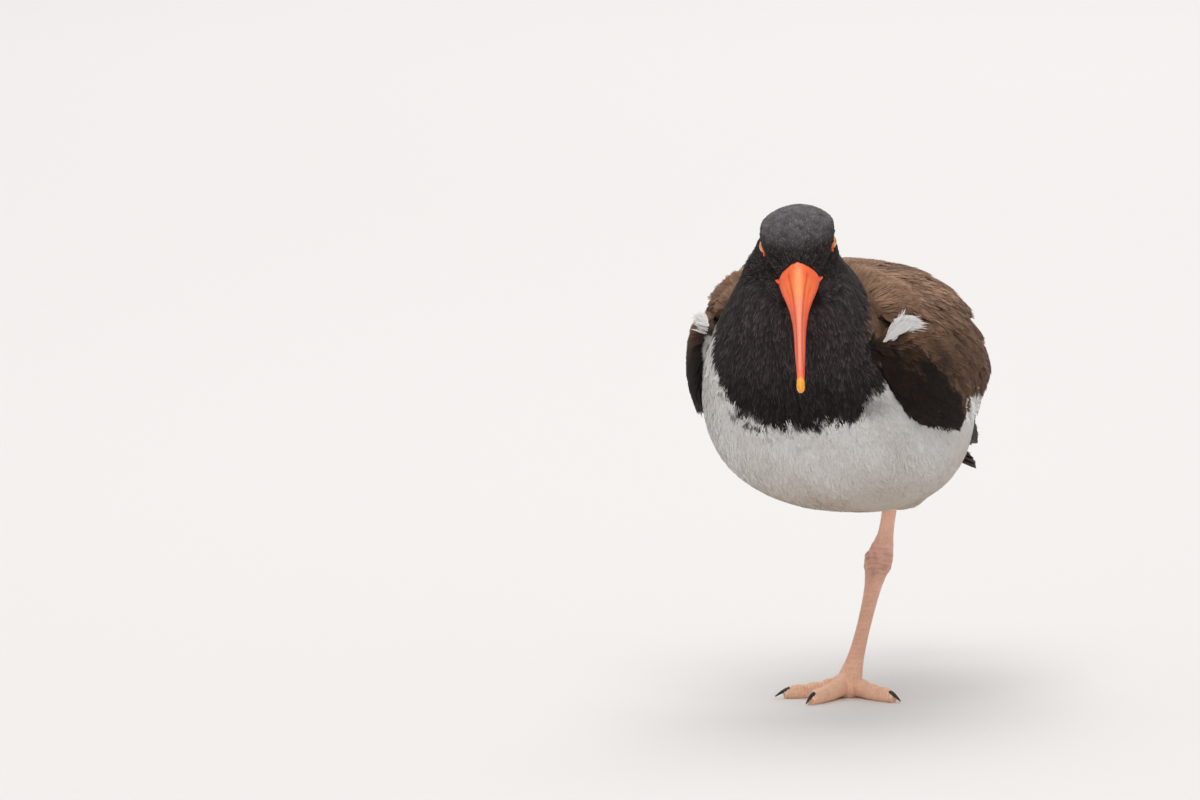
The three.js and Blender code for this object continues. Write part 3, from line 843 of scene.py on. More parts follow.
@dataclass(frozen=True)
class Feathered:
    """Matt feather colour from the piece's own markings."""

    name: str
    roughness: float = 0.8
    gloss: float = 0.12
    sheen: float = 0.03
    variation: float = 0.35
    scale: float = 900.0

    def make(self) -> bpy.types.Material:
        """Return the material."""
        s = Shader(self.name)
        fleck = s.noise(s.place(), self.scale, 4.0)
        return s.made(
            Base_Color=s.shaded((fleck - 0.5) * self.variation + 1.0),
            Roughness=self.roughness,
            Specular_IOR_Level=self.gloss,
            Sheen_Weight=self.sheen,
            Sheen_Roughness=0.5,
        )


@dataclass(frozen=True)
class Vaned:
    """Smooth feather vanes, streaked along each feather."""

    name: str
    roughness: float = 0.55
    gloss: float = 0.16
    variation: float = 0.35
    streaks: float = 1.3
    light: float = 1.0288

    def make(self) -> bpy.types.Material:
        """Return the material."""
        s = Shader(self.name)
        fleck = s.noise(s.place(), 260.0, 3.0)
        streak = s.noise(s.grained(), 1.1, 4.0)
        shade = (fleck - 0.5) * self.variation + (streak - 0.5) * self.streaks + self.light
        return s.made(
            Base_Color=s.shaded(shade),
            Roughness=self.roughness,
            Specular_IOR_Level=self.gloss,
        )


@dataclass(frozen=True)
class Horn:
    """Smooth horn with fine lines of growth along it."""

    name: str
    roughness: float
    coat: float
    lines: float

    def make(self) -> bpy.types.Material:
        """Return the material."""
        s = Shader(self.name)
        where = s.grained()
        streak = s.noise(s.scaled(where, (14.0, 1.3, 14.0)), 1.0, 5.0)
        fleck = s.noise(where, 5.0, 4.0)
        return s.made(
            Base_Color=s.shaded((streak - 0.5) * 0.5 + (fleck - 0.5) * 0.25 + 1.12, 0.75),
            Roughness=(fleck - 0.5) * 0.25 + self.roughness,
            Coat_Weight=self.coat,
            Coat_Roughness=0.25,
            Subsurface_Weight=0.12,
            Subsurface_Radius=(1.0, 0.35, 0.2),
            Subsurface_Scale=0.0012,
            Normal=s.bump(streak + fleck * 0.4, self.lines, 0.00035),
        )


@dataclass(frozen=True)
class BareSkin:
    """Scaly bare skin of the leg and foot."""

    name: str
    cells: float = 820.0

    def make(self) -> bpy.types.Material:
        """Return the material."""
        s = Shader(self.name)
        where = s.place()
        feature = {"feature": "DISTANCE_TO_EDGE"}
        cells = s.node("ShaderNodeTexVoronoi", feature, Vector=where, Scale=self.cells)
        edge = Value(s, cells.outputs[0]).step(0.0, 0.13)
        blotch = s.noise(where, 160.0, 4.0)
        fine = s.noise(where, 1500.0, 3.0)
        shade = (blotch - 0.5) * 0.35 + edge * 0.14 + (fine - 0.5) * 0.2 + 0.9
        return s.made(
            Base_Color=s.shaded(shade, tones=(1.0, 0.98, 0.96)),
            Roughness=(1.0 - edge) * 0.15 + 0.5,
            Subsurface_Weight=0.15,
            Subsurface_Radius=(1.0, 0.4, 0.25),
            Subsurface_Scale=0.0015,
            Normal=s.bump(edge + fine * 0.3, 0.55, 0.00022),
        )


@dataclass(frozen=True)
class Iris:
    """A wet eye with a yellow iris round a black pupil."""

    name: str
    pupil: float = 0.36
    rim: float = 0.8

    def make(self) -> bpy.types.Material:
        """Return the material."""
        s = Shader(self.name)
        where = s.grained()
        out = Value(s, s.node("ShaderNodeSeparateXYZ", {}, where).outputs[0])
        rays = s.noise(s.scaled(where, (1.0, 9.0, 9.0)), 1.6, 4.0)
        yellow = s.blend(rays, (0.72, 0.20, 0.01, 1), (1.0, 0.38, 0.02, 1))
        ringed = s.blend(out.step(self.rim - 0.12, self.rim), yellow, (0.25, 0.07, 0.01, 1))
        edge = out.step(self.pupil, self.pupil + 0.05)
        return s.made(
            Base_Color=s.blend(edge, (0.003, 0.003, 0.003, 1), ringed),
            Roughness=0.08,
            Coat_Weight=1.0,
            Coat_Roughness=0.02,
        )


# Markings, with painted light and shade among them, in light as the eye would measure it


class Tone:
    """The bird's colours, some of them painted light or shade."""

    HOOD = np.array([0.015, 0.0117, 0.0125])
    # Painted sheen: grey on the tips of the black feathers, and on the crown and nape.
    HOOD_TIP = np.array([0.12, 0.098, 0.096])
    CROWN = np.array([0.135, 0.126, 0.138])
    WHITE = np.array([0.76, 0.745, 0.73])
    # A darker cream: painted shade low on the belly, and a slight tint of the tail coverts.
    CREAM = np.array([0.49, 0.42, 0.35])
    BROWN = np.array([0.118, 0.062, 0.037])
    TAN = np.array([0.37, 0.225, 0.145])
    # Near black: the dark tail feathers and primaries, and the dark zone of the wing, which is
    # partly painted shade.
    SOOT = np.array([0.0105, 0.0062, 0.005])
    RED = np.array([0.93, 0.08, 0.027])
    ORANGE = np.array([0.99, 0.175, 0.032])
    # Painted highlights along the ridge of the upper mandible.
    GLOW = np.array([1.0, 0.29, 0.075])
    PINK = np.array([1.0, 0.23, 0.125])
    YELLOW = np.array([0.95, 0.38, 0.02])
    FLESH = np.array([0.90, 0.53, 0.39])
    MAUVE = np.array([0.76, 0.42, 0.33])
    SALMON = np.array([0.97, 0.60, 0.42])


@dataclass(frozen=True)
class Markings:
    """Where each colour of the plumage lies, painted light and shade included, for points in the
    bird's own frame.
    """

    bib: Curve = Curve(
        (-44, -40, -36, -32, -26, -18, -8, 2, 16, 29, 37, 42, 46),
        (196, 182, 168, 157, 149, 143.5, 141, 139.5, 139.5, 145, 154, 166, 184),
    )
    bib_front: float = -52.0
    bib_climb: float = 2.1
    brow: Curve = Curve((-26, -10, 0, 8, 16, 23), (-4, 1, 4.2, 5.5, 6.8, 9))
    flank: Curve = Curve(
        (0, 4.5, 6.5, 9.5, 13.4, 18, 30, 50, 84), (-40, -22, -16, -10, -4.4, 0, -1, -5, -9)
    )
    edge: Curve = Curve(
        (-30, -21, -14.5, -3, 17, 35, 55, 75, 90), (-56, -60, -65, -67, -66.5, -61, -53, -46, -42)
    )
    # Where the dark zone at the front of the wing ends: dark coverts and painted shade together.
    dark: Curve = Curve(
        (-72, -66, -60, -52, -44, -36.7, -29, -20, -10, 10),
        (17, 13, 8, 5, 5, 4.5, -0.5, -6.5, -16, -36),
    )
    smudge_at: tuple[float, float] = (37, 150)

    def border(self, points: Array) -> Array:
        """Return the height of the hood's lower border at points."""
        climb = np.maximum(points[:, 1] - self.bib_front, 0) * self.bib_climb
        return self.bib(points[:, 0]) + climb

    def hood(self, points: Array) -> Array:
        """Find the black feathers of the front.

        Args:
            points: The points.

        Returns:
            1 in the hood and its spots, and 0 outside, with a ragged edge.
        """
        x, y, z = points.T
        border = self.border(points)
        ragged = 2.6 * mottle(points, 5, 3) + 1.6 * mottle(points, 2.2, 4)
        hood = smooth(-1.6, 1.6, z - border + ragged)
        below = border - z
        spots = smooth(0.42, 0.8, mottle(points, 3.4, 9)) * smooth(0, 2, below)
        spots = spots * smooth(11, 4, below) * (y < -50) * smooth(14, -2, x)
        # A soft dark patch on the left of the breast, just below the hood's border.
        off = (x - self.smudge_at[0]) ** 2 + (z - self.smudge_at[1]) ** 2
        dark_patch = np.exp(-off / 30.0) * (y < -50)
        return np.clip(np.maximum(hood, np.maximum(spots * 0.9, dark_patch * 0.55)), 0, 1)

    def black(self, points: Array) -> Array:
        """Colour the black feathers.

        Args:
            points: The points.

        Returns:
            The colours: a painted grey sheen on crown and nape, and painted shade, deepest before
                the eye under the brow and low on the breast.
        """
        _, along, up = HEAD.local(points).T
        off = np.abs(up + 3) / 17 + np.abs(along) / 28
        brow = self.brow(along)
        # Painted sheen: the crown above the brow's line and the high nape turn grey.
        crown = smooth(-1.5, 6.0, up - brow) * smooth(-34, -20, along)
        nape = smooth(178, 214, points[:, 2]) * (0.35 + 0.65 * smooth(-70, -48, points[:, 1]))
        crown = crown * (0.75 + 0.25 * mottle(points, 2.2, 13))
        sheen = np.maximum(crown, nape * 0.3 * (off > 1.1))
        # Painted shade: darker before the eye below the brow's line, and low on the breast.
        lores = smooth(0.5, -2.5, up - brow) * smooth(-5, 3, along) * smooth(1.2, 0.9, off)
        low = smooth(172, 150, points[:, 2])
        black = mix(Tone.HOOD, Tone.CROWN, np.clip(sheen, 0, 1))
        return black * (1 - 0.6 * lores - 0.5 * low)[:, None]

    def body(self, points: Array) -> Array:
        """Colour body feathers.

        Args:
            points: The points.

        Returns:
            The colours.
        """
        _, y, z = points.T
        # Painted shade: the white turns to a darker cream towards the bottom of the belly, with a
        # random mottle on top.
        low_shade_and_mottle = smooth(134, 84, z) * 0.95 + 0.12 * (mottle(points, 14, 12) + 0.6)
        white = mix(Tone.WHITE, Tone.CREAM, np.clip(low_shade_and_mottle, 0, 1))
        edge = self.edge(ENVELOPE.angle(y, z)) + 1.2 * mottle(points, 3.0, 14)
        back = smooth(163, 170, z) * smooth(0.0, 2.0, y - edge)
        front = mix(white, self.black(points), self.hood(points))
        return mix(front, Tone.BROWN * 0.6 + Tone.TAN * 0.4, back)

    def front(self, points: Array) -> Array:
        """Return 1 where body feathers lie over the front edge of a wing or the mantle."""
        edge = self.edge(ENVELOPE.angle(points[:, 1], points[:, 2]))
        return smooth(0.9, -0.9, points[:, 1] - edge + 1.3 * mottle(points, 3.5, 5))

    def wing(self, points: Array) -> Array:
        """Colour wing and back feathers, with painted shade and painted light among their colours.

        Args:
            points: The points.

        Returns:
            The colours.
        """
        _, y, z = points.T
        angle = ENVELOPE.angle(y, z)
        run = np.stack([angle * ENVELOPE.girth(y) + 0.55 * y, 0.12 * y, 0 * y], -1)
        streak = 0.5 * mottle(run, 1.8, 23) + 0.5 * mottle(run, 4.5, 24)
        # Dark coverts and painted shade together: a dark zone over the front of the wing.
        dark = smooth(15, -4, angle - self.dark(y) + 1.5 * mottle(points, 6, 22) + 7 * streak)
        hand = smooth(84, 104, y)
        # Painted shade: the lower side of the wing turns darker.
        low = smooth(-2, -20, angle) * 0.5
        # Painted shade and the dark primaries together turn the brown to near black.
        shade_and_dark = np.maximum(dark * 0.97, np.maximum(low, hand * 0.75))
        # Painted light: the brown turns paler towards the top of the back, with random mottle and
        # streaks.
        pale = 0.13 + 0.14 * mottle(points, 11, 21) + 0.52 * smooth(176, 202, z) + 0.2 * streak
        brown = mix(Tone.BROWN, Tone.TAN, np.clip(pale, 0, 1))
        colour = mix(brown, Tone.SOOT, np.clip(shade_and_dark, 0, 1))
        below = self.flank(y) - angle + 2.0 * mottle(points, 2.6, 25)
        white = smooth(-1.0, 1.0, below) * (y > 2) * (y < 80)
        colour = mix(colour, Tone.WHITE * 0.95, white)
        return mix(colour, self.body(points), self.front(points))


MARKINGS = Markings()


# Feathers


@dataclass(frozen=True)
class Plume:
    """The sizes of one kind of small feather, in millimetres."""

    spacing: float
    length: float
    width: float
    lift: float
    blades: int
    bend: float
    tip: float = 1.6
    fray: float = 0.18
    turn: float = 0.12


class Scatter:
    """Even places on a surface."""

    def __init__(self, piece: bpy.types.Object, key: int) -> None:
        """Keep a piece's triangles and normals.

        Args:
            piece: The surface.
            key: The seed.
        """
        piece.data.calc_loop_triangles()
        flat = np.empty(len(piece.data.loop_triangles) * 3, np.int32)
        piece.data.loop_triangles.foreach_get("vertices", flat)
        self.points, self.faces, self.out = places(piece), flat.reshape(-1, 3), normals(piece)
        self.rng = np.random.default_rng(key)

    def places(self, spacing: float, keep: Callable[[Array], Array]) -> tuple[Array, Array]:
        """Spread places over the surface.

        Args:
            spacing: The least distance between two.
            keep: A test from points to booleans.

        Returns:
            Points and normals.
        """
        a, b, c = (self.points[self.faces[:, k]] for k in range(3))
        wanted = keep((a + b + c) / 3)
        area = np.linalg.norm(np.cross(b - a, c - a), axis=1) / 2 * wanted
        count = int(area.sum() / spacing**2 * 2.6)
        face = self.rng.choice(len(area), count, p=area / area.sum())
        u, v = self.rng.random(count), self.rng.random(count)
        flip = u + v > 1
        u[flip], v[flip] = 1 - u[flip], 1 - v[flip]
        w = np.stack([1 - u - v, u, v], -1)[..., None]
        found = (self.points[self.faces[face]] * w).sum(1)
        out = unit((self.out[self.faces[face]] * w).sum(1))
        kept = self.thin(found, spacing)
        return found[kept], out[kept]

    @staticmethod
    def thin(points: Array, spacing: float) -> Array:
        """Drop the points that stand too near an earlier one.

        Args:
            points: The points.
            spacing: The least distance.

        Returns:
            The numbers of those that are kept.
        """
        cells: dict[tuple[int, int, int], list[int]] = {}
        keys = np.floor(points / spacing).astype(int).tolist()
        steps = [(i, j, k) for i in (-1, 0, 1) for j in (-1, 0, 1) for k in (-1, 0, 1)]
        rows, kept = points.tolist(), []
        for n, (i, j, k) in enumerate(keys):
            near = (rows[m] for a, b, c in steps for m in cells.get((i + a, j + b, k + c), ()))
            if all(math.dist(rows[n], other) >= spacing for other in near):
                cells.setdefault((i, j, k), []).append(n)
                kept.append(n)
        return np.array(kept, int)


@dataclass(frozen=True)
class Growth:
    """The start, lie and colours of many feathers, a row for each."""

    roots: Array
    out: Array
    lie: Array
    spot: Array
    colour: Array
    tip: Array


class Coat:
    """Many small feathers as one mesh: each is a fan of fine blades of seven points."""

    ROWS = (0.0, 0.4, 0.78, 1.0)
    HALVES = (0.45, 0.62, 0.5, 0.0)
    CORNERS = np.array([0.0, 0.0, 0.4, 0.4, 0.78, 0.78, 1.0])
    FACES = np.array([[0, 3, 1], [0, 2, 3], [2, 5, 3], [2, 4, 5], [4, 6, 5]])
    PATCH = 0.0028

    def __init__(self, name: str, key: int, relief: float = 0.4) -> None:
        """Start an empty coat.

        Args:
            name: The object's name.
            key: The seed.
            relief: How much each blade's own tilt shows in the light.
        """
        self.name, self.relief = name, relief
        self.rng = np.random.default_rng(key)
        self.parts: list[tuple[Array, ...]] = []
        self.count = 0

    def add(self, growth: Growth, kind: Plume, scale: Any = 1.0, rise: Any = 1.0) -> None:
        """Grow feathers.

        Args:
            growth: Where and how they grow.
            kind: Their sizes.
            scale: Each one's size as a share of that.
            rise: Each one's lift as a share of that.
        """
        n, b, k = len(growth.roots), kind.blades, len(self.CORNERS)
        scale, rise = (np.broadcast_to(v, n)[:, None] for v in (scale, rise))
        points, q = self.blades(growth, kind, scale, rise)
        base = (np.arange(n * b) * k)[:, None, None] + self.count
        faces = (base + self.FACES[None]).reshape(-1, 3)
        u = np.broadcast_to(self.CORNERS, (n, b, k))
        across = np.repeat(q[..., None], k, 2) * self.PATCH / 2
        local = np.stack([across, (u - 0.5) * self.PATCH], -1)
        uv = (growth.spot[:, None, None] + local).reshape(-1, 2)
        up = np.broadcast_to(growth.out[:, None, None], (n, b, k, 3)).reshape(-1, 3)
        self.parts.append((points, faces, self.colours(growth, kind), uv, up))
        self.count += n * b * k

    def blades(self, growth: Growth, kind: Plume, scale: Array, rise: Array) -> tuple[Array, Array]:
        """Shape the blades.

        Args:
            growth: Where and how they grow.
            kind: Their sizes.
            scale: Each feather's size as a share of that.
            rise: Each feather's lift as a share of that.

        Returns:
            The blades' points, and how far across its fan each blade lies.
        """
        n, b, rng, out = len(growth.roots), kind.blades, self.rng, growth.out
        lie = unit(growth.lie - out * (growth.lie * out).sum(1, keepdims=True))
        turn = rng.normal(0, kind.turn, (n, 1))
        lie = unit(lie * np.cos(turn) + np.cross(out, lie) * np.sin(turn))
        side = np.cross(out, lie)
        q = np.linspace(-1, 1, b)[None] * np.ones((n, 1)) + rng.normal(0, 0.25 / b, (n, b))
        size = rng.uniform(0.85, 1.15, (n, 1)) * scale
        length = kind.length * size * (1 - 0.3 * q**2)
        length = length * (1 + rng.normal(0, kind.fray, (n, b)) * 0.6)
        wide = kind.width * size / b * rng.uniform(0.6, 1.15, (n, b))
        lift = kind.lift * rise * rng.uniform(0.8, 1.2, (n, 1)) * (1 - 0.25 * q**2)
        lift = lift * rng.uniform(0.9, 1.1, (n, b))
        points, fan = [], kind.width / 2 * q * size
        for u, share in zip(self.ROWS, self.HALVES):
            open_ = 0.3 + 0.7 * math.sin(min(u / 0.75, 1) * math.pi / 2)
            spread = fan * open_ * (1 - 0.28 * max(u - 0.6, 0))
            drop = (length * u) ** 2 / (2 * kind.bend)
            height = -0.35 + (lift + 0.35) * (1 - (1 - u) ** 1.8) - drop
            centre = (
                growth.roots[:, None]
                + lie[:, None] * (length * u)[..., None]
                + side[:, None] * spread[..., None]
                + out[:, None] * height[..., None]
            )
            half = side[:, None] * (wide * share)[..., None]
            points += [centre - half, centre + half] if share else [centre]
        return np.stack(points, 2).reshape(-1, 3), q

    def colours(self, growth: Growth, kind: Plume) -> Array:
        """Colour the blades, darker at their roots and paler at some of their tips.

        Args:
            growth: The feathers' colours.
            kind: Their sizes.

        Returns:
            A colour for each point.
        """
        n, u = len(growth.roots), self.CORNERS[None, None, :, None]
        blade = self.rng.uniform(0.0, 1.0, (n, kind.blades, 1, 1)) ** 2.4
        pale = smooth(0.15, 0.45, growth.colour.mean(1))[:, None, None, None]
        feather = 1 + self.rng.uniform(-0.2, 0.2, (n, 1, 1, 1)) * (1 - 0.82 * pale)
        dark = growth.colour[:, None, None] * (1 - (0.42 - 0.32 * pale) * (1 - u)) * feather
        reach = np.clip(u**kind.tip * (0.15 + 0.85 * blade), 0, 1)
        return (dark * (1 - reach) + growth.tip[:, None, None] * reach * feather).reshape(-1, 3)

    def make(self) -> bpy.types.Object:
        """Return the coat as one mesh object."""
        points, faces, colours, uv, up = (np.concatenate(part) for part in zip(*self.parts))
        piece = woven(self.name, points, faces, {"OFBake": np.clip(uv, 0, 1)})
        paint(piece, colours)
        blade = normals(piece)
        blade *= np.sign((blade * up).sum(1, keepdims=True))
        piece.data.normals_split_custom_set_from_vertices(unit(up * 0.75 + blade * self.relief))
        return piece


@dataclass(frozen=True)
class Tier:
    """A row of long feathers whose roots and tips follow two lines of (y, angle)."""

    roots: tuple[tuple[float, float], ...]
    tips: tuple[tuple[float, float], ...]
    count: int
    width: tuple[float, float]
    low: tuple[float, float]
    high: tuple[float, float]
    edge: float = 0.35
    pale: float = 0.0


@dataclass(frozen=True)
class Quill:
    """One long feather on the envelope, from (y, angle) at its root to the same at its tip."""

    root: tuple[float, float]
    tip: tuple[float, float]
    width: float
    low: float
    high: float


class Vanes:
    """Long feathers of a folded wing, each a cambered vane with a raised shaft."""

    ROWS, COLS = 14, 11
    SHAFT = 0.09

    def __init__(self, name: str, key: int) -> None:
        """Start with no feather."""
        self.name = name
        self.rng = np.random.default_rng(key)
        self.points: list[Array] = []
        self.colours: list[Array] = []
        self.grain: list[Array] = []

    @staticmethod
    def outline(t: Array) -> Array:
        """Return a vane's half-width along it, as a share of its widest."""
        root = 0.45 + 0.55 * np.sin(np.minimum(t / 0.45, 1) * np.pi / 2)
        return root * np.where(t < 0.66, 1, np.sqrt(np.clip(1 - ((t - 0.66) / 0.345) ** 2, 0, 1)))

    def keep(self, points: Array, colours: Array, run: Array, aside: Array) -> None:
        """Add one feather.

        Args:
            points: Its grid of points.
            colours: A colour for each.
            run: How far along it each lies.
            aside: How far from its shaft each lies.
        """
        run, aside = np.broadcast_arrays(run, aside)
        self.points.append(points)
        self.colours.append(colours)
        number = np.full_like(run, len(self.points) * 3.7)
        self.grain.append(np.stack([aside, run * 0.07, number], -1))

    def row(self, hand: Hand, tier: Tier) -> None:
        """Add a tier on the envelope.

        Args:
            hand: The side.
            tier: Its lines and sizes.
        """
        keys = np.linspace(0, 1, len(tier.roots))
        ends = (tier.roots, tier.tips)
        lines = [Curve(keys, [p[k] for p in line]) for line in ends for k in (0, 1)]
        for f in np.linspace(0, 1, tier.count):
            ry, ra, ty, ta = (float(line(f)) for line in lines)
            tip = ty + self.rng.normal(0, 1.0), ta + self.rng.normal(0, 0.7)
            sizes = (tier.width, tier.low, tier.high)
            width, low, high = (float(np.interp(f, (0, 1), pair)) for pair in sizes)
            width *= self.rng.uniform(0.94, 1.06)
            self.lay(hand, tier, Quill((ry, ra), tip, width, low, high))

    def lay(self, hand: Hand, tier: Tier, quill: Quill) -> None:
        """Lay one feather of a tier on the envelope.

        Args:
            hand: The side.
            tier: The tier, for its colours.
            quill: The feather's own place and sizes.
        """
        t = np.linspace(0, 1, self.ROWS)[:, None]
        q = np.linspace(-1, 1, self.COLS)[None] * -hand.value
        (ry, ra), (ty, ta) = quill.root, quill.tip
        y, a = ry + (ty - ry) * t, ra + (ta - ra) * t
        fall, run = (ta - ra) * ENVELOPE.girth(y), ty - ry
        whole = np.hypot(run, fall)
        ragged = 1 + 0.05 * self.rng.normal(0, 1, (self.ROWS, self.COLS)) * (np.abs(q) > 0.9)
        half = quill.width / 2 * self.outline(t) * ragged
        shaft = 0.35 * bell(q, self.SHAFT) * (1 - t)
        height = quill.low + (quill.high - quill.low) * t + 0.7 * (1 - q**2) + shaft
        py = y - q * half * fall / whole
        pa = a + q * half * run / whole / ENVELOPE.girth(y)
        points = ENVELOPE.on(hand, py, pa, height - ENVELOPE.dent(py, pa))
        base = MARKINGS.wing(points.reshape(-1, 3)).reshape(*points.shape)
        rim = np.maximum(smooth(0.72, 0.98, np.abs(q)), smooth(0.86, 1.0, t)) * tier.edge
        colour = mix(base * self.rng.uniform(0.85, 1.15), Tone.TAN, rim * np.ones_like(q))
        colour = colour * (1 - (bell(q, 0.08) * 0.35)[..., None] * 0.4)
        if tier.pale:
            ends = t + 0.04 * self.rng.normal(0, 1, (1, self.COLS))
            colour = mix(colour, Tone.WHITE, smooth(0.80, 0.93, ends) * tier.pale * np.ones_like(q))
        self.keep(points, colour, t * whole, q * half)

    def straight(self, start: Array, frame: Sequence[Array], length: float, width: float) -> None:
        """Add one straight tail feather.

        Args:
            start: Its root.
            frame: The ways that it points, to its side and out of its upper face.
            length: Its length.
            width: Its width.
        """
        along, aside, over = frame
        t = np.linspace(0, 1, self.ROWS)[:, None, None]
        q = np.linspace(-1, 1, self.COLS)[None, :, None]
        root = 0.5 + 0.5 * smooth(0, 0.4, t)
        half = width / 2 * root * np.sqrt(1 - smooth(0.86, 1.004, t) ** 2)
        camber = 0.25 - 0.6 * q**2 + 0.3 * bell(q, self.SHAFT) * (1 - t)
        points = start + along * t * length + aside * q * half + over * camber
        dark = np.broadcast_to(Tone.SOOT * 1.4 + Tone.BROWN * 0.25, points.shape)
        t, q, half = t[..., 0] + 0 * q[..., 0], q[..., 0], half[..., 0]
        colour = mix(dark, Tone.WHITE, smooth(0.42, 0.3, t))
        colour = mix(colour, Tone.TAN, smooth(0.93, 1.0, t) * 0.6)
        self.keep(points, colour, t * length, q * half)

    def make(self) -> bpy.types.Object:
        """Return all the feathers as one mesh, each with a cell of its own on the bake map."""
        n, rows, cols = len(self.points), self.ROWS, self.COLS
        grid = math.ceil(math.sqrt(n))
        i, j = np.meshgrid(np.arange(rows - 1), np.arange(cols - 1), indexing="ij")
        corner = i * cols + j
        quad = np.stack([corner, corner + 1, corner + cols + 1, corner + cols], -1)
        faces = quad.reshape(1, -1, 4) + (np.arange(n) * rows * cols)[:, None, None]
        inset = (np.linspace(0.04, 0.96, size) for size in (rows, cols))
        t, q = np.meshgrid(*inset, indexing="ij")
        cell = np.stack([np.arange(n) % grid, np.arange(n) // grid], -1)[:, None, None]
        bake = ((cell + np.stack([q, t], -1)[None]) / grid).reshape(-1, 2)
        points, colours, grains = (
            np.concatenate([part.reshape(-1, 3) for part in parts])
            for parts in (self.points, self.colours, self.grain)
        )
        piece = woven(self.name, points, faces.reshape(-1, 4), {"OFBake": bake})
        paint(piece, colours)
        grain(piece, grains)
        return piece

    def down(self, name: str, kind: Plume, each: int) -> bpy.types.Object:
        """Grow fine loose barbs over the feathers.

        Args:
            name: The object's name.
            kind: The sizes of a tuft of barbs.
            each: How many tufts grow on one feather.

        Returns:
            The barbs as one mesh object.
        """
        coat = Coat(name, len(name), 0.3)
        n, rows, cols = len(self.points), self.ROWS, self.COLS
        grid, shade = np.stack(self.points), np.stack(self.colours)
        pick = np.repeat(np.arange(n), each)
        i = self.rng.uniform(1, rows - 2.3, len(pick))
        j = self.rng.uniform(0.3, cols - 1.3, len(pick))
        a, b = i.astype(int), j.astype(int)
        u, v = (i - a)[:, None], (j - b)[:, None]
        low = grid[pick, a, b] * (1 - v) + grid[pick, a, b + 1] * v
        high = grid[pick, a + 1, b] * (1 - v) + grid[pick, a + 1, b + 1] * v
        along, aside = unit(high - low), grid[pick, a, b + 1] - grid[pick, a, b]
        out = unit(np.cross(aside, along))
        roots = low * (1 - u) + high * u
        lie = along + unit(aside) * (j / (cols - 1) - 0.5)[:, None] * 0.5
        colour = shade[pick, a, b] * self.rng.uniform(0.7, 1.3, (len(pick), 1))
        tip = colour * 1.25 + 0.004
        coat.add(Growth(roots, out, lie, wing_spot(roots), colour, tip), kind)
        return coat.make()


def wing_spot(points: Array) -> Array:
    """Find places on the unwrap of the envelope.

    Args:
        points: Points near it.

    Returns:
        A place on the bake map for each.
    """
    half = 0.48 * (1 - (ENVELOPE.angle(points[:, 1], points[:, 2]) / 180 + 0.5))
    side = np.where(points[:, 0] > MIDLINE_X, 0.5 + half, 0.5 - half)
    return np.stack([side, np.clip((points[:, 1] + 80) / 260, 0.01, 0.99)], -1)


# The bird's parts


@dataclass(frozen=True)
class Region:
    """A part of the skin with a coat of its own."""

    name: str
    kind: Plume
    keep: Callable[[Array], Array]
    spot: Callable[[Array], Array]
    relief: float


@dataclass(frozen=True)
class Swell:
    """A rounded form that fills out another one."""

    at: Point
    size: Point


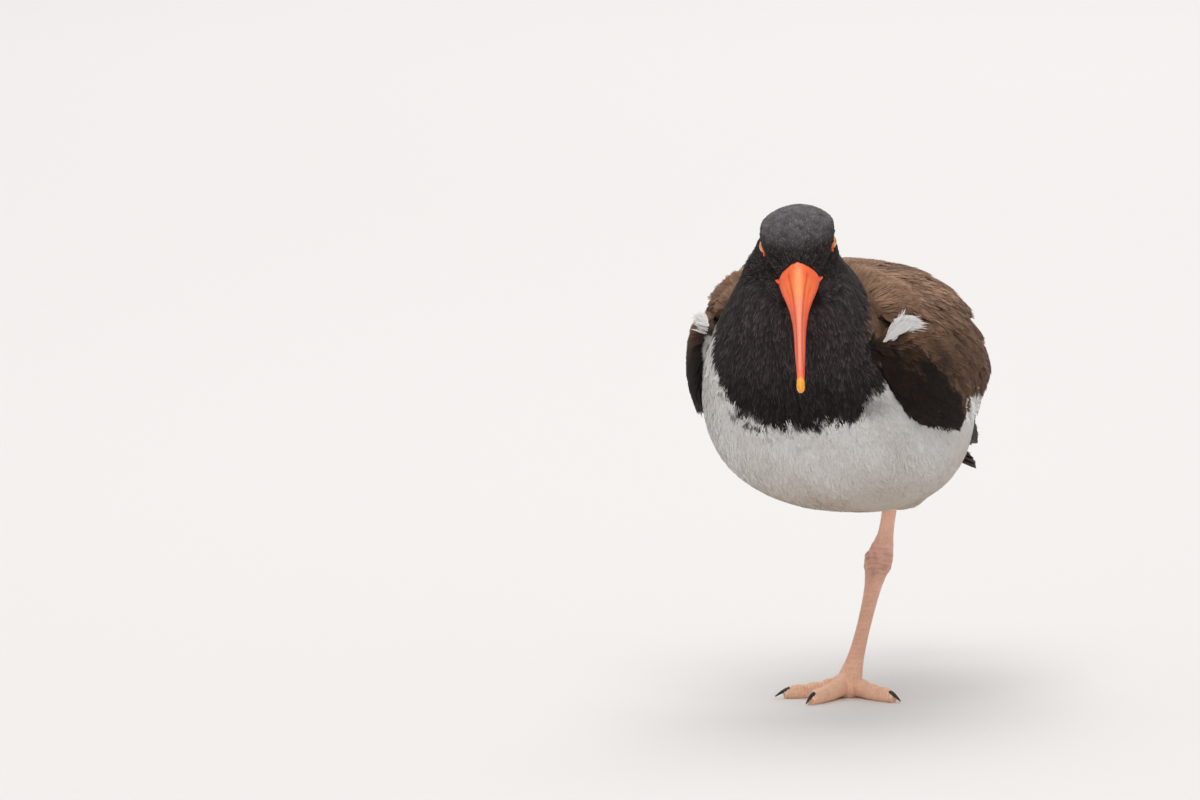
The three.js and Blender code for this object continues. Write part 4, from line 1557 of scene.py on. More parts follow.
@dataclass
class Body:
    """The skin of head, neck and trunk, and the small feathers over it."""

    coat_depth: float = 1.9
    head_depth: float = 1.3
    voxel: float = 1.5
    face: Plume = Plume(0.8, 3.2, 1.8, 0.7, 5, 20, 1.8)
    hood: Plume = Plume(1.3, 8.6, 4.0, 1.4, 8, 55, 1.6, turn=0.15)
    belly: Plume = Plume(1.6, 14.0, 6.0, 1.1, 8, 90, 2.2, turn=0.1)
    trunk_fills: tuple[Swell, ...] = (
        Swell((15.0, 18.0, 107.5), (23.5, 27.0, 19.5)),
        Swell((22.0, 62.0, 121.5), (15.5, 26.0, 14.5)),
    )
    head_fills: tuple[Swell, ...] = (
        Swell((0.0, -3.0, -11.0), (19.6, 18.0, 12.5)),
        Swell((0.0, -17.0, -7.0), (15.8, 13.5, 13.5)),
    )
    eye_clear: float = 4.6
    bill_from: float = 21.5

    def skin(self) -> bpy.types.Object:
        """Return one skin over head, neck and trunk, inside them by the coat's depth."""
        t = np.linspace(0, TRUNK.last, 110)[:, None]
        trunk = wrap("skin_trunk", TRUNK.point(t, circle(96), -self.coat_depth))
        ends = HEAD.slices[0].along + self.head_depth, HEAD.slices[-1].along
        along = np.linspace(*ends, 60)[:, None]
        head = wrap("skin_head", HEAD.ring(along, circle(80), -self.head_depth))
        fills = [head, trunk]
        for fill in self.trunk_fills:
            form = ball(48, 32)
            form.scale = np.array(fill.size) - self.coat_depth
            form.location = (np.array(fill.at) + BODY_AT) * MM
            fills.append(settle(form))
        for fill in self.head_fills:
            form = ball(48, 32)
            local = places(form, NONE) * (np.array(fill.size) - self.head_depth) + np.array(fill.at)
            move_points(form, HEAD.place(*local.T))
            fills.append(form)
        skin = fuse(join("skin", fills), self.voxel, 5)
        colour = MARKINGS.body(places(skin))
        # Painted shade: the skin is darker than the feathers that grow on it, most under the black
        # ones, as shade in the gaps between feathers.
        paint(skin, colour * mix(0.55, 0.92, smooth(0.1, 0.4, colour.mean(1))))
        return skin

    @staticmethod
    def covered(points: Array) -> Array:
        """Return where the wings or the mantle hide the skin."""
        _, y, z = points.T
        angle = ENVELOPE.angle(y, z)
        wing = (y > MARKINGS.edge(angle) + 2.5) & (y < 88) & (angle > Wing.lower(y) + 5)
        return (wing & ENVELOPE.holds(points, 1.0)) | ((y >= 84) & (y < 118) & (z > 146))

    @staticmethod
    def near_head(points: Array) -> Array:
        """Return 1 on the head and 0 on the body, with a soft change between."""
        local = (HEAD.local(points) - np.array([0, 1, -4])) / np.array([21, 28, 20.5])
        return smooth(1.22, 0.98, np.sqrt((local**2).sum(1)))

    def lie(self, points: Array) -> Array:
        """Find the way the feathers lie.

        Args:
            points: Where.

        Returns:
            A direction for each point.
        """
        _, _, tail = TRUNK.locate(points)
        local = HEAD.local(points)
        left, along, up = HEAD.axes.T
        aside = 0.4 * np.clip(local[:, :1] / 9, -1, 1)
        down = 0.25 + 1.9 * smooth(-6, -21, local[:, 1])[:, None]
        head = -along + aside * left - down * up
        high = smooth(140, 185, points[:, 2:]) * smooth(-40, -62, points[:, 1:2])
        aside = np.clip((points[:, :1] - 2) / 34, -1, 1) * high
        body = tail + np.array([0, 0, -0.28]) + aside * np.array([0.5, 0, 0])
        body = body + mottle(points, 16, 31)[:, None] * np.array([0.22, 0.05, 0.1])
        share = self.near_head(points)[:, None]
        return unit(head * share + body * (1 - share))

    @staticmethod
    def spot(points: Array) -> Array:
        """Return places on the unwrap of the trunk's own shape."""
        t, angle, _ = TRUNK.locate(points)
        return np.stack([angle / math.tau + 0.5, t / TRUNK.last], -1) * 0.98 + 0.01

    @staticmethod
    def head_spot(points: Array) -> Array:
        """Return places on the unwrap of the head's own shape."""
        left, along, up = HEAD.local(points).T
        round_ = (np.arctan2(up, left) / math.tau + 0.5) * 0.98 + 0.01
        return np.stack([round_, np.clip((along + 30) / 60, 0.01, 0.99)], -1)

    @staticmethod
    def off_eye(points: Array) -> Array:
        """Return how far points on the head's sides lie from an eye."""
        left, along, up = HEAD.local(points).T
        return np.where(np.abs(left) > 10, np.hypot(along - Eye.along, up - Eye.up), 99.0)

    def on_head(self, points: Array) -> Array:
        """Return where the small feathers of the head grow, clear of bill and eyes."""
        left, along, _ = HEAD.local(points).T
        bill = (along > self.bill_from) & (np.abs(left) < 8)
        return (self.near_head(points) > 0.5) & ~bill & ~(self.off_eye(points) < self.eye_clear)

    def on_front(self, points: Array) -> Array:
        """Return where the feathers of neck and breast grow."""
        return (self.near_head(points) <= 0.6) & (points[:, 2] > 134) & (points[:, 1] < -28)

    def below(self, points: Array) -> Array:
        """Return where the white feathers of the underside grow."""
        breast = (points[:, 2] > 136) & (points[:, 1] < -30)
        return ~breast & (self.near_head(points) < 0.1)

    def regions(self) -> Iterator[Region]:
        """Yield the parts of the skin in the order in which their feathers grow."""
        yield Region("coat_head", self.face, self.on_head, self.head_spot, 0.4)
        yield Region("coat_hood", self.hood, self.on_front, self.spot, 0.4)
        for side, left in (("left", True), ("right", False)):
            keep = lambda p, left=left: self.below(p) & ((p[:, 0] > MIDLINE_X) == left)
            yield Region(f"coat_belly_{side}", self.belly, keep, self.spot, 0.15)

    def coats(self, skin: bpy.types.Object) -> list[bpy.types.Object]:
        """Grow the coat pieces.

        Args:
            skin: The skin that they grow on.

        Returns:
            One piece for each region.
        """
        made, scatter = [], Scatter(skin, SEED)
        for number, region in enumerate(self.regions()):
            kind, coat = region.kind, Coat(region.name, SEED + number, region.relief)
            keep = lambda p, region=region: region.keep(p) & ~self.covered(p)
            roots, out = scatter.places(kind.spacing, keep)
            lie, near = self.lie(roots), self.near_head(roots)
            colour = MARKINGS.body(roots + 0.4 * kind.length * lie)
            black = smooth(0.25, 0.08, colour.mean(1))[:, None]
            # Painted sheen: the black feathers get grey tips, more of them higher up.
            grey = black * (0.35 + 0.65 * smooth(148, 185, roots[:, 2:]))
            tip = np.minimum(colour * (1.1 - 0.04 * black) + Tone.HOOD_TIP * grey, 0.86)
            scale = 1.35 - 0.35 * near if kind is self.face else 1 - 0.5 * near
            ahead = smooth(-4, 1, HEAD.local(roots)[:, 1])
            rise = 1 + 0.9 * smooth(8.5, 5.5, self.off_eye(roots)) * ahead
            coat.add(Growth(roots, out, lie, region.spot(roots), colour, tip), kind, scale, rise)
            made.append(coat.make())
        return made

    def build(self, feathered: bpy.types.Material) -> None:
        """Make and dress the skin and its coat."""
        skin = self.skin()
        coats = self.coats(skin)
        dress(skin, feathered, "hood", "head", "neck", "torso")
        for coat in coats:
            dress(coat, feathered, "belly" if "belly" in coat.name else "hood")


@dataclass
class Eye:
    """An eyeball and the ring of bare skin round it."""

    hand: Hand
    along: float = 0.5
    up: float = -0.6
    side: float = 13.8
    radius: float = 4.4
    lid_radius: float = 4.2
    lid_thick: float = 0.6
    lid_at: float = 2.2

    def seat(self, piece: bpy.types.Object, local: Array, out: float) -> None:
        """Turn a form towards the side of the head and move it there.

        Args:
            piece: The mesh.
            local: Its points round its own axis, which is the third.
            out: How far outside the eye's centre it lies.
        """
        hand = self.hand.value
        turned = np.stack([local[:, 2] * hand, local[:, 0], local[:, 1]], -1)
        centre = np.array([hand * (self.side + out), self.along, self.up])
        move_points(piece, HEAD.place(*(turned + centre).T))
        outwards(piece)
        bpy.ops.object.shade_smooth()

    def ball(self, finish: bpy.types.Material) -> bpy.types.Object:
        """Return the eyeball, with a slightly raised cornea."""
        ball(64, 48, self.radius)
        piece = named(f"eye_{self.hand.label}_ball")
        local = places(piece, NONE)
        out = local[:, 2] / self.radius
        angle = np.arccos(np.clip(out, -1, 1)) / 1.1
        grain(piece, np.stack([angle, local[:, 0] / 4, local[:, 1] / 4], -1))
        self.seat(piece, local * (1 + 0.02 * smooth(0.7, 0.95, out))[:, None], 0.0)
        return dress(piece, finish, "iris", f"eye_{self.hand.label}")

    def lid(self, finish: bpy.types.Material) -> bpy.types.Object:
        """Return the ring of bare skin, a little knobbly."""
        deselect()
        bpy.ops.mesh.primitive_torus_add(
            major_radius=self.lid_radius * MM,
            minor_radius=self.lid_thick * MM,
            major_segments=72,
            minor_segments=20,
        )
        piece = named(f"eyelid_{self.hand.label}_ring")
        local = places(piece, NONE)
        round_ = np.arctan2(local[:, 1], local[:, 0])
        out = unit(local * np.array([1, 1, 0])) * self.lid_radius
        knobs = 1 + 0.07 * np.sin(round_ * 17) + 0.05 * np.sin(round_ * 29 + 1)
        local = out + (local - out) * knobs[:, None]
        self.seat(piece, local, self.lid_at)
        paint(piece, Tone.ORANGE * (0.85 + 0.15 * np.sin(round_ * 17))[:, None])
        grain(piece, local * 0.5)
        return dress(piece, finish, "lid", f"eyelid_{self.hand.label}")

    def build(self, iris: bpy.types.Material, lid: bpy.types.Material) -> None:
        """Make and dress the eyeball and the ring."""
        self.ball(iris)
        self.lid(lid)


@dataclass(frozen=True)
class Horny:
    """A section across one mandible."""

    along: float
    top: float
    bottom: float
    width: float


@dataclass
class Bill:
    """The upper and the lower mandible."""

    upper: tuple[Horny, ...] = (
        Horny(18, 4.6, -5.6, 8.4),
        Horny(22, 4.5, -5.6, 9.6),
        Horny(27, 4, -5.4, 9),
        Horny(33, 3.3, -5, 7.6),
        Horny(38, 2.7, -4.6, 6.3),
        Horny(45, 2, -4.2, 4.7),
        Horny(54, 1.4, -3.9, 3.5),
        Horny(64, 0.9, -3.7, 2.8),
        Horny(80, 0.4, -3.7, 2.3),
        Horny(88, 0.15, -3.75, 1.8),
        Horny(93, 0.1, -3.8, 1.65),
        Horny(98, -0.2, -4, 1.95),
        Horny(101.5, -0.9, -4, 1.75),
        Horny(103.6, -2.4, -4, 0.75),
    )
    lower: tuple[Horny, ...] = (
        Horny(17, -6.1, -9.8, 6.8),
        Horny(22, -6.1, -10.6, 8.2),
        Horny(27, -5.9, -10.6, 7.8),
        Horny(33, -5.5, -10.1, 6.6),
        Horny(38, -5.1, -9.7, 5.5),
        Horny(45, -4.7, -9.1, 4.2),
        Horny(54, -4.4, -8.6, 3.2),
        Horny(64, -4.2, -8.2, 2.6),
        Horny(80, -4.2, -7.9, 2.1),
        Horny(94, -4.5, -7.1, 1.6),
        Horny(100, -4.7, -5.7, 0.7),
    )
    furrow: Curve = Curve((22, 28, 38, 50, 64, 95), (4.8, 4.2, 3.0, 2.0, 1.4, 1.2))
    gape_along: float = 22.0
    gape_up: float = -6.0
    gape_root: float = 6.0
    gape_reach: float = 11.2
    gape_thick: float = 1.5
    gape_sweep: float = -2.0
    nostril_along: float = 36.0
    nostril_up: float = -0.8
    nostril_length: float = 5.2
    nostril_height: float = 0.75
    nostril_depth: float = 1.1

    def furrows(self, left: Array, along: Array, up: Array, width: float) -> Array:
        """Find the two furrows along the upper mandible.

        Args:
            left: Places to the left.
            along: Places along the bill.
            up: Heights.
            width: The furrow's half-width.

        Returns:
            1 in a furrow's line and 0 off it, before it fades towards its ends.
        """
        return bell(np.abs(left) - self.furrow(along), width) * (up > -2.5)

    def colours(self, local: Array, lower: bool) -> Array:
        """Return the horn's colour.

        Args:
            local: Points in the head's frame.
            lower: Whether it is the lower mandible.

        Returns:
            A colour for each point.
        """
        left, along, up = local.T
        ridge = smooth(3.0, 0.6, np.abs(left)) * smooth(-2.6, 1.4, up + (along - 40) * 0.02)
        colour = mix(Tone.ORANGE, Tone.RED, smooth(30, 62, along) * 0.75)
        colour = mix(colour, Tone.RED, smooth(-0.5, -4.5, up) * (0.95 if lower else 0.7))
        if not lower:
            # A red band near the base, then painted highlights along the ridge: brighter orange,
            # then pink.
            for tone, *ends, share in (
                (Tone.RED, (21, 24), (31, 26), 0.5),
                (Tone.GLOW, (21, 26), (56, 38), ridge * 0.9),
                (Tone.PINK, (36, 54), (106, 80), ridge * 0.9),
            ):
                start, end = (smooth(*pair, along) for pair in ends)
                colour = mix(colour, tone, start * end * share)
            # Painted shade in the two furrows.
            fade = smooth(23, 27, along) * smooth(95, 80, along)
            colour = colour * (1 - 0.5 * self.furrows(left, along, up, 0.45) * fade)[:, None]
        return mix(colour, Tone.YELLOW, smooth(95, 98.5, along + 1.0 * mottle(local, 2.5, 6)))

    def mandible(self, name: str, stations: Sequence[Horny], upper: bool) -> bpy.types.Object:
        """Return one mandible.

        Args:
            name: The object's name.
            stations: Its sections.
            upper: Whether it is the upper one.

        Returns:
            A closed, smooth mesh in the head's place.
        """
        size = curves(stations, [s.along for s in stations], "top", "bottom", "width")
        along = np.linspace(stations[0].along, stations[-1].along, 150)[:, None]
        ends = ("bottom", "top") if upper else ("top", "bottom")
        edge, ridge = (size[key](along) for key in ends)
        width = size["width"](along)
        over = np.linspace(0, math.pi, 49)[None]
        across, rise = rounded(over, 1.75 + 0.55 * smooth(26, 50, along))
        back = np.linspace(-0.9, 0.9, 9)[None] + 0 * along
        w = np.concatenate([across, back], 1) * width
        h = edge + (ridge - edge) * np.concatenate([rise, 0 * back], 1)
        h = h - np.sign(ridge - edge) * 0.12 * np.sin(np.clip(np.abs(w) / width, 0, 1) * np.pi)
        groove = smooth(24, 30, along) * smooth(70, 44, along) * 0.35
        side = np.abs(w) - groove * bell(h - (edge + ridge) / 2, 1.1)
        if upper:
            fade = smooth(23, 27, along) * smooth(95, 80, along)
            h = h - 0.3 * self.furrows(w, along, h, 0.4) * fade
            slit = ((along - self.nostril_along) / self.nostril_length) ** 2
            slit = slit + ((h - self.nostril_up) / self.nostril_height) ** 2
            side = side - self.nostril_depth * np.exp(-slit * 1.4) * (np.abs(w) > 2)
        return wrap(name, HEAD.place(np.sign(w) * side, along, h))

    def flange(self, hand: Hand) -> bpy.types.Object:
        """Return the small fleshy corner of the gape."""
        t, a = np.linspace(0, 1, 16)[:, None], circle(24)
        half = self.gape_thick * 1.15 * (1 - 0.93 * t)
        side = hand.value * (self.gape_root + (self.gape_reach - self.gape_root) * t) + 0 * a
        sweep = 1.2 + (self.gape_sweep - 1.2) * t
        along = self.gape_along + sweep + 3.2 * half * np.cos(a)
        up = self.gape_up + half * np.sin(a) + 0.5 * t**2
        return wrap("flange", HEAD.place(side, along, up))

    def build(self, finish: bpy.types.Material) -> None:
        """Make and dress both mandibles."""
        for node, stations in (("bill_upper", self.upper), ("bill_lower", self.lower)):
            name, upper = f"{node}_horn", stations is self.upper
            piece = self.mandible(name, stations, upper)
            if upper:
                piece = join(name, [piece, self.flange(Hand.LEFT), self.flange(Hand.RIGHT)])
            local = HEAD.local(places(piece))
            paint(piece, self.colours(local, not upper))
            grain(piece, local * 0.25)
            dress(piece, finish, "bill", node)


@dataclass(frozen=True)
class Toe:
    """A toe, turned from straight ahead, with its half-widths at root and end."""

    turn: float
    length: float
    root: float
    end: float

    def point(self, far: float, height: float, wide: float, deep: float) -> list[float]:
        """Return a section on the toe's line."""
        a = math.radians(self.turn)
        return [far * math.sin(a), -far * math.cos(a), height, wide, deep]


@dataclass
class Leg:
    """The standing leg with its foot, and the drawn-up leg, as rows of x, y, z and half-widths."""

    standing: tuple[tuple[float, ...], ...] = (
        (26.8, -11, 105, 5, 6),
        (23.8, -6.8, 93, 3.5, 4),
        (18.9, 0.9, 79.5, 3.7, 4.2),
        (14.8, 6.1, 70.2, 5.8, 5.6),
        (11.8, 8.6, 63.5, 6.9, 6.8),
        (10.7, 8.2, 57.5, 5, 5.6),
        (9, 7, 48, 3.7, 4),
        (5.8, 4.8, 32, 3.3, 3.7),
        (3, 3, 19, 4, 4),
        (1, 1.2, 10, 5.8, 5),
        (0, -1, 5, 6.8, 6),
    )
    drawn_up: tuple[tuple[float, ...], ...] = (
        (-23, 12, 97, 3.2, 3.2),
        (-22, 22, 91.5, 3.6, 3.6),
        (-21, 36, 89.5, 3.7, 3.8),
        (-20, 49, 90, 5.6, 5.6),
        (-19.5, 57, 94, 5.8, 5.4),
        (-19, 60, 102, 4, 4),
        (-19, 58, 112, 4, 4),
    )
    inner: Toe = Toe(-52, 32, 4.3, 3.4)
    middle: Toe = Toe(-7, 38, 4.7, 3.6)
    outer: Toe = Toe(63, 33, 4.5, 3.4)
    sole: float = 0.78
    pad_size: Point = (8.4, 8.2, 6.8)
    pad_at: Point = (0.0, -1.5, 4.8)
    claw_length: float = 7.0
    claw_root: float = 1.7
    claw_tip: float = 0.35
    voxel: float = 0.42

    def toes(self) -> dict[str, Toe]:
        """Return the toes by name."""
        return {"inner": self.inner, "middle": self.middle, "outer": self.outer}

    @staticmethod
    def tube(
        name: str, rows: Sequence[Sequence[float]], sides: int, per_span: int, at: Array = NONE
    ) -> bpy.types.Object:
        """Return a limb through stations.

        Args:
            name: The object's name.
            rows: Rows of x, y, z, half-width and half-depth.
            sides: How many points in a ring.
            per_span: How many rings between two stations.
            at: The place of the limb's own origin.

        Returns:
            A closed tube.
        """
        stations, last = np.array(rows, float), len(rows) - 1
        *line, wide, deep = (Curve(range(last + 1), stations[:, k]) for k in range(5))
        t = np.linspace(0, last, last * per_span + 1)
        here, later, earlier = (
            np.stack([axis(at_) for axis in line], -1)
            for at_ in (t, np.minimum(t + 0.05, last), np.maximum(t - 0.05, 0))
        )
        ahead = unit(later - earlier)
        across = unit(np.cross(np.array([0.0, 1.0, 0.0]), ahead))
        front = np.cross(ahead, across)
        a = circle(sides)[0]
        rings = (
            here[:, None]
            + across[:, None] * (wide(t)[:, None] * np.cos(a))[..., None]
            + front[:, None] * (deep(t)[:, None] * np.sin(a))[..., None]
        )
        return wrap(name, rings, at)

    def toe_rows(self, toe: Toe) -> list[list[float]]:
        """Return a toe's stations, with its joints a little fuller."""
        rows = []
        for i, t in enumerate(np.linspace(0, 1, 9)):
            size = (toe.root + (toe.end - toe.root) * t) * (0.93 if i % 2 else 1.04)
            size = size * (0.55 if t == 1 else 1)
            height = size * self.sole + (1 - t) ** 3 * 3.4
            rows.append(toe.point(2 + (toe.length - 2) * t, height, size, size))
        return rows

    def claw_rows(self, toe: Toe) -> list[list[float]]:
        """Return a claw's stations, curved down to the floor."""
        rows = []
        for t in np.linspace(0, 1, 5):
            size = self.claw_root + (self.claw_tip - self.claw_root) * t**0.9
            height = toe.end * 1.25 + (1.1 - toe.end * 1.25) * t**1.6
            far = toe.length - 2.6 + self.claw_length * t
            rows.append(toe.point(far, height, size * 0.85, size))
        return rows

    def scutes(self, points: Array) -> Array:
        """Find how far the skin sinks between its scales.

        Args:
            points: Points of the standing leg.

        Returns:
            The depth at each.
        """
        x, y, z = points.T
        bands = (0.5 + 0.5 * np.cos(z * math.tau / 2.3 + 0.6 * mottle(points, 5, 51))) ** 6
        shank = smooth(9, 14, z) * smooth(52, 48, z) * smooth(2.0, -1.0, y - (z * 0.14))
        folds = (0.5 + 0.5 * np.cos(z * math.tau / 2.9 + 2.6 * mottle(points, 6, 52))) ** 3
        depth = 0.1 * bands * shank
        depth = depth + bell(z - 65, 8.5) * (0.3 * folds + 0.28 * mottle(points, 3.2, 53))
        for toe in self.toes().values():
            a = math.radians(toe.turn)
            along = x * math.sin(a) - y * math.cos(a)
            aside = np.abs(x * math.cos(a) + y * math.sin(a))
            band = 0.2 * (0.5 + 0.5 * np.cos(along * math.tau / 1.75)) ** 5 * smooth(2.2, 4.0, z)
            on = (aside < 5.2) & (along > 7) & (z < 11)
            depth = np.where(on, np.maximum(depth, band), depth)
        return depth

    def stand(self, finish: bpy.types.Material) -> None:
        """Make and dress the skin of the standing leg, foot and toes."""
        parts = [self.tube("leg", self.standing, 40, 14)]
        parts += [self.tube(name, self.toe_rows(toe), 28, 5) for name, toe in self.toes().items()]
        pad = ball(40, 24)
        pad.scale, pad.location = self.pad_size, np.array(self.pad_at) * MM
        piece = fuse(join("leg_left_skin", [*parts, settle(pad)]), self.voxel, 3)
        points = places(piece, NONE)
        points = points - normals(piece) * self.scutes(points)[:, None]
        points[:, 2] = np.maximum(points[:, 2], 0.02)
        move_points(piece, points, NONE)
        z = points[:, 2]
        colour = mix(Tone.SALMON, Tone.FLESH, smooth(8, 26, z))
        colour = mix(colour, Tone.MAUVE, bell(z - 65, 9) * 0.85)
        # Painted shade: darker where the skin sinks between the scales.
        paint(piece, colour * (1 - 0.2 * np.clip(self.scutes(points) / 0.3, 0, 1))[:, None])
        nodes = ["leg_left_tibia", "leg_left_ankle", "leg_left_tarsus", "foot_left"]
        dress(piece, finish, "skin", *nodes, *(f"toe_{name}" for name in self.toes()))

    def draw_up(self, finish: bpy.types.Material) -> None:
        """Make and dress the part of the right leg that shows among the belly feathers."""
        piece = self.tube("leg_right_skin", self.drawn_up, 32, 12, BODY_AT)
        points = places(piece)
        bands = (0.5 + 0.5 * np.cos(points[:, 1] * math.tau / 2.4)) ** 5
        move_points(piece, points - normals(piece) * (0.15 * bands)[:, None])
        heel = bell(points[:, 1] - 54, 9)
        # Painted shade: darker in the grooves between the bands of scales.
        paint(piece, mix(Tone.FLESH, Tone.MAUVE, heel * 0.7) * (1 - 0.25 * bands)[:, None])
        dress(piece, finish, "skin", "leg_right_drawn_up")

    def build(self, bare: bpy.types.Material, claw: bpy.types.Material) -> None:
        """Make and dress both legs and the claws."""
        self.stand(bare)
        self.draw_up(bare)
        for name, toe in self.toes().items():
            piece = self.tube(f"claw_{name}_horn", self.claw_rows(toe), 24, 8)
            local = places(piece, NONE)
            paint(piece, np.broadcast_to(Tone.HOOD * 0.8, local.shape))
            grain(piece, local * 0.3)
            dress(piece, claw, "claw", f"claw_{name}")


def bed(rows: int, cols: int) -> tuple[Array, Array, Array]:
    """Return a grid with finer spacing towards its edges.

    Args:
        rows: How many rows from front to back.
        cols: How many points in each.

    Returns:
        The share along and across, and a bank that falls to 0 at the edges.
    """
    u = (1 - np.cos(np.linspace(0, math.pi, rows)))[:, None] / 2
    v = (1 - np.cos(np.linspace(0, math.pi, cols)))[None] / 2
    return u, v, bank(np.minimum(u, 1 - u) * 6) * bank(np.minimum(v, 1 - v) * 5)


@dataclass
class Wing:
    """A folded wing."""

    hand: Hand
    front: float = -73.0
    back: float = 84.0
    lower: Curve = Curve(
        (-70, -60, -46, -32, -15, 10, 50, 84), (5, -16, -26, -25, -20, -18, -22, -18)
    )
    upper: Curve = Curve((-70, -55, -20, 20, 84), (14, 26, 36, 50, 62))
    height: Curve = Curve((-70, -45, -15, 20, 84), (2.2, 4, 3, 0.6, -1.6))
    sink: float = 1.9
    small: Plume = Plume(1.5, 9.5, 4.6, 1.4, 7, 60, 2.0, turn=0.12)
    barbs: Plume = Plume(1.0, 8.0, 2.6, 0.35, 4, 300, 1.6, turn=0.1)
    barbs_each: int = 110
    tiers: tuple[Tier, ...] = (
        Tier(
            ENVELOPE.seen((-54, 154), (-42, 163), (-26, 175), (-6, 186)),
            ENVELOPE.seen((-34, 141), (-16, 147), (4, 158), (24, 172)),
            11, (11, 11), (0.4, 0.2), (2.9, 2.3), 0.12,
        ),
        Tier(
            ENVELOPE.seen((-42, 148), (-22, 153), (0, 163), (16, 174)),
            ENVELOPE.seen((-18, 139), (8, 135), (34, 139), (56, 152)),
            14, (12, 12), (-0.6, -1.2), (2.2, 1.3), 0.12,
        ),
        Tier(
            ENVELOPE.seen((-14, 144), (4, 147), (22, 151)),
            ENVELOPE.seen((26, 128), (50, 124), (74, 122)),
            12, (13, 13), (-2.4, -2.8), (0.6, 0.2), 0.12, 0.85,
        ),
        Tier(
            ((14, 27), (18, 45), (24, 62), (30, 78)),
            ((98, 2), (109, 27), (120, 52), (128, 78)),
            10, (19, 21), (-2.2, -2.2), (0.5, 1.4), 0.22,
        ),
        Tier(
            ENVELOPE.seen((30, 146), (38, 152), (48, 158)),
            ENVELOPE.seen((90, 124), (110, 121), (128, 118)),
            7, (15, 14), (-4.4, -3.8), (-3.2, -1.6), 0.12,
        ),
        Tier(
            ENVELOPE.seen((40, 131), (48, 134), (54, 138)),
            ENVELOPE.seen((106, 114), (134, 110), (158, 107)),
            8, (15, 13), (-3.8, -2.8), (-1.2, 0.2), 0.1,
        ),
    )

    def base(self) -> bpy.types.Object:
        """Return the lobe that the feathers are rooted in."""
        u, v, edge = bed(76, 44)
        y = self.front + (self.back - self.front) * u
        angle = self.lower(y) + (self.upper(y) - self.lower(y)) * v
        ahead = smooth(1.0, -3.0, y - MARKINGS.edge(angle))
        height = self.height(y) * edge - 1.2 * (1 - edge) - self.sink - 3.5 * ahead
        height = height - 7 * (edge < 0.02) - ENVELOPE.dent(y, angle)
        piece = sheet(f"wing_{self.hand.label}_base", ENVELOPE.on(self.hand, y, angle, height))
        if self.hand is Hand.LEFT:
            turn_over(piece)
        # Painted shade: the lobe under the feathers is half as bright as they are.
        paint(piece, MARKINGS.wing(places(piece)) * 0.5)
        return piece

    @staticmethod
    def lie(points: Array) -> Array:
        """Return the way the wing's small feathers lie."""
        drop = 0.75 - 0.35 * smooth(150, 185, points[:, 2]) - 0.2 * smooth(-30, 30, points[:, 1])
        return np.stack([0 * drop, np.ones_like(drop), -drop], -1)

    def uncovered(self, points: Array) -> Array:
        """Return where the small feathers of the lobe grow."""
        _, y, z = points.T
        return (y < 44) & (ENVELOPE.angle(y, z) > self.lower(y) + 0.5)

    def coat(self, base: bpy.types.Object) -> bpy.types.Object:
        """Return the small feathers over the lobe."""
        scatter = Scatter(base, SEED + 7 + self.hand.value)
        roots, out = scatter.places(self.small.spacing, self.uncovered)
        away = roots - np.array([MIDLINE_X, 0, 150])
        away[:, 1] = 0
        out = np.where((out * away).sum(1, keepdims=True) < 0, -out, out)
        flush = (out * unit(away)).sum(1) > 0.45
        roots, out = roots[flush], out[flush]
        coat = Coat(f"wing_{self.hand.label}_coverts", SEED + 9 + self.hand.value)
        lie = self.lie(roots)
        colour = MARKINGS.wing(roots + 0.4 * self.small.length * lie)
        brown = smooth(0.02, 0.08, colour[:, 0])[:, None]
        tip = np.minimum(colour * 1.25 + Tone.TAN * 0.1 * brown + 0.004, 0.84)
        coat.add(Growth(roots, out, lie, wing_spot(roots), colour, tip), self.small)
        return coat.make()

    def build(self, feathered: bpy.types.Material, vaned: bpy.types.Material) -> None:
        """Make and dress the lobe, its small feathers, the long ones and their loose barbs."""
        side, base = self.hand.label, self.base()
        coat = self.coat(base)
        dress(base, feathered, "flight", f"wing_{side}")
        dress(coat, feathered, "flight")
        vanes = Vanes(f"wing_{side}_vanes", SEED + 20 + self.hand.value)
        for tier in self.tiers:
            vanes.row(self.hand, tier)
        dress(vanes.make(), vaned, "flight")
        dress(vanes.down(f"wing_{side}_barbs", self.barbs, self.barbs_each), feathered, "flight")


